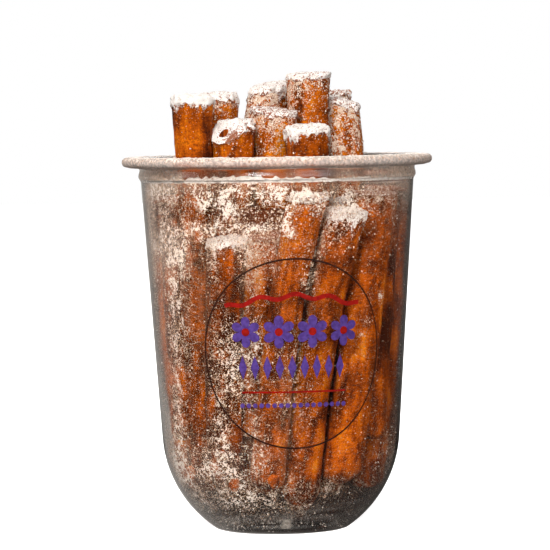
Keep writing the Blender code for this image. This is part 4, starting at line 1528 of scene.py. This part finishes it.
def floor_material():
    """Pale for the camera, and for the cup dim below, pale beside it and pale where it is mirrored."""
    n = new_material("pale_floor")
    place = n.get("TexCoord", output="Object")
    x, y = n.axis(place, "X"), n.axis(place, "Y")
    distance = n.get("VectorMath", {0: place}, "Value", operation="LENGTH")
    mottle = n.ramp(n.noise(place, 3.0, 2.0), [(0.3, (0.86, 0.86, 0.86)), (0.7, (0.90, 0.90, 0.90))])
    pale = n.get("BsdfPrincipled", {
        "Base Color": mottle, "Roughness": 0.9, "Specular IOR Level": 0.1,
        "Emission Color": (1.0, 1.0, 1.0, 1.0),
        "Emission Strength": n.span(distance, 0.05, 0.45, 0.78, 1.2),
    })
    near = n.times(n.span(x, -0.05, 0.02, 0.70, 0.10), n.span(distance, 0.22, 0.07))
    strength = n.larger(surroundings(n, place, 0.6), near)
    mirrored = n.get("Emission", {"Color": MIRRORED, "Strength": strength})
    beside = n.times(n.span(x, -0.032, -0.044), n.span(y, 0.60, 0.36))
    beside = n.times(beside, n.span(y, 0.08, 0.16))
    paler = n.get("Emission", {"Color": MIRRORED, "Strength": n.times(beside, 0.60)})
    dim = n.get("BsdfDiffuse", {"Color": (0.035, 0.028, 0.026, 1.0)})
    others = n.choose(mirrored_rays(n), n.get("AddShader", {0: dim, 1: paler}), mirrored)
    return n.finish(n.choose(n.get("LightPath", output="Is Camera Ray"), others, pale))


def add_floor():
    points, faces = grid(turned([(r, 0.0) for r in FLOOR_RINGS], FLOOR_SIDES))
    add_object("floor", new_mesh("floor", points, faces, floor_material()))


def add_light(name, place, size, power, colour):
    data = bpy.data.lights.new(name, "AREA")
    data.shape = "RECTANGLE"
    data.size, data.size_y = size
    data.energy = power
    data.color = colour
    light = add_object(name, data)
    light.location = place
    way = Vector(LIGHTS_AIM) - Vector(place)
    light.rotation_euler = way.to_track_quat("-Z", "Y").to_euler()
    light.visible_camera = False
    light.visible_transmission = False


def add_world():
    """White where the camera looks past the object or a surface mirrors it, and dim as a light."""
    n = Nodes(bpy.data.worlds.new("studio"))
    seen = n.get("Background", {"Color": (1.0, 1.0, 1.0, 1.0), "Strength": 1.0})
    glow = n.get("Background", {"Color": (1.0, 0.86, 0.77, 1.0), "Strength": 0.08})
    strength = surroundings(n, n.get("TexCoord", output="Generated"), 0.95)
    mirrored = n.get("Background", {"Color": MIRRORED, "Strength": strength})
    others = n.choose(mirrored_rays(n), glow, mirrored)
    surface = n.choose(n.get("LightPath", output="Is Camera Ray"), others, seen)
    bpy.context.scene.world = n.finish(surface, "OutputWorld")


# All together

add_camera()
add_floor()
add_world()
for light in LIGHTS:
    add_light(*light)

make_cup(plastic_material())
make_core(core_material())
crust = crust_material()
make_fries(crust)
make_crumbs(crust)
sugar = sugar_material("packed_sugar")
grain_sugar = sugar_material("loose_sugar", dark=(0.70, 0.50, 0.37), light=(0.96, 0.87, 0.78))
make_caps(sugar_material("cap_sugar", bare=True))
make_fry_grains(grain_sugar)
make_film(film_material("wall_dust"))
make_bottom_film(film_material("bottom_dust", (0.26, 0.20, 0.18), (0.84, 0.77, 0.68)))
make_neck_film(film_material("neck_dust", (0.62, 0.38, 0.24), (0.74, 0.58, 0.46)))
make_lip_film(film_material("lip_dust", (0.88, 0.74, 0.66), (0.88, 0.74, 0.66)))
make_wall_grains(grain_sugar)
make_step_sugar(sugar)
make_lip_sugar(sugar, grain_sugar)
make_floor_sugar(grain_sugar)
make_print(
    ink_material("dark_ink", (0.035, 0.014, 0.010), (0.018, 0.008, 0.006)),
    ink_material("red_ink", (0.36, 0.010, 0.006), (0.20, 0.006, 0.004)),
    ink_material("violet_ink", (0.100, 0.052, 0.270), (0.062, 0.030, 0.160)),
)
bpy.context.scene.view_settings.view_transform = "Standard"
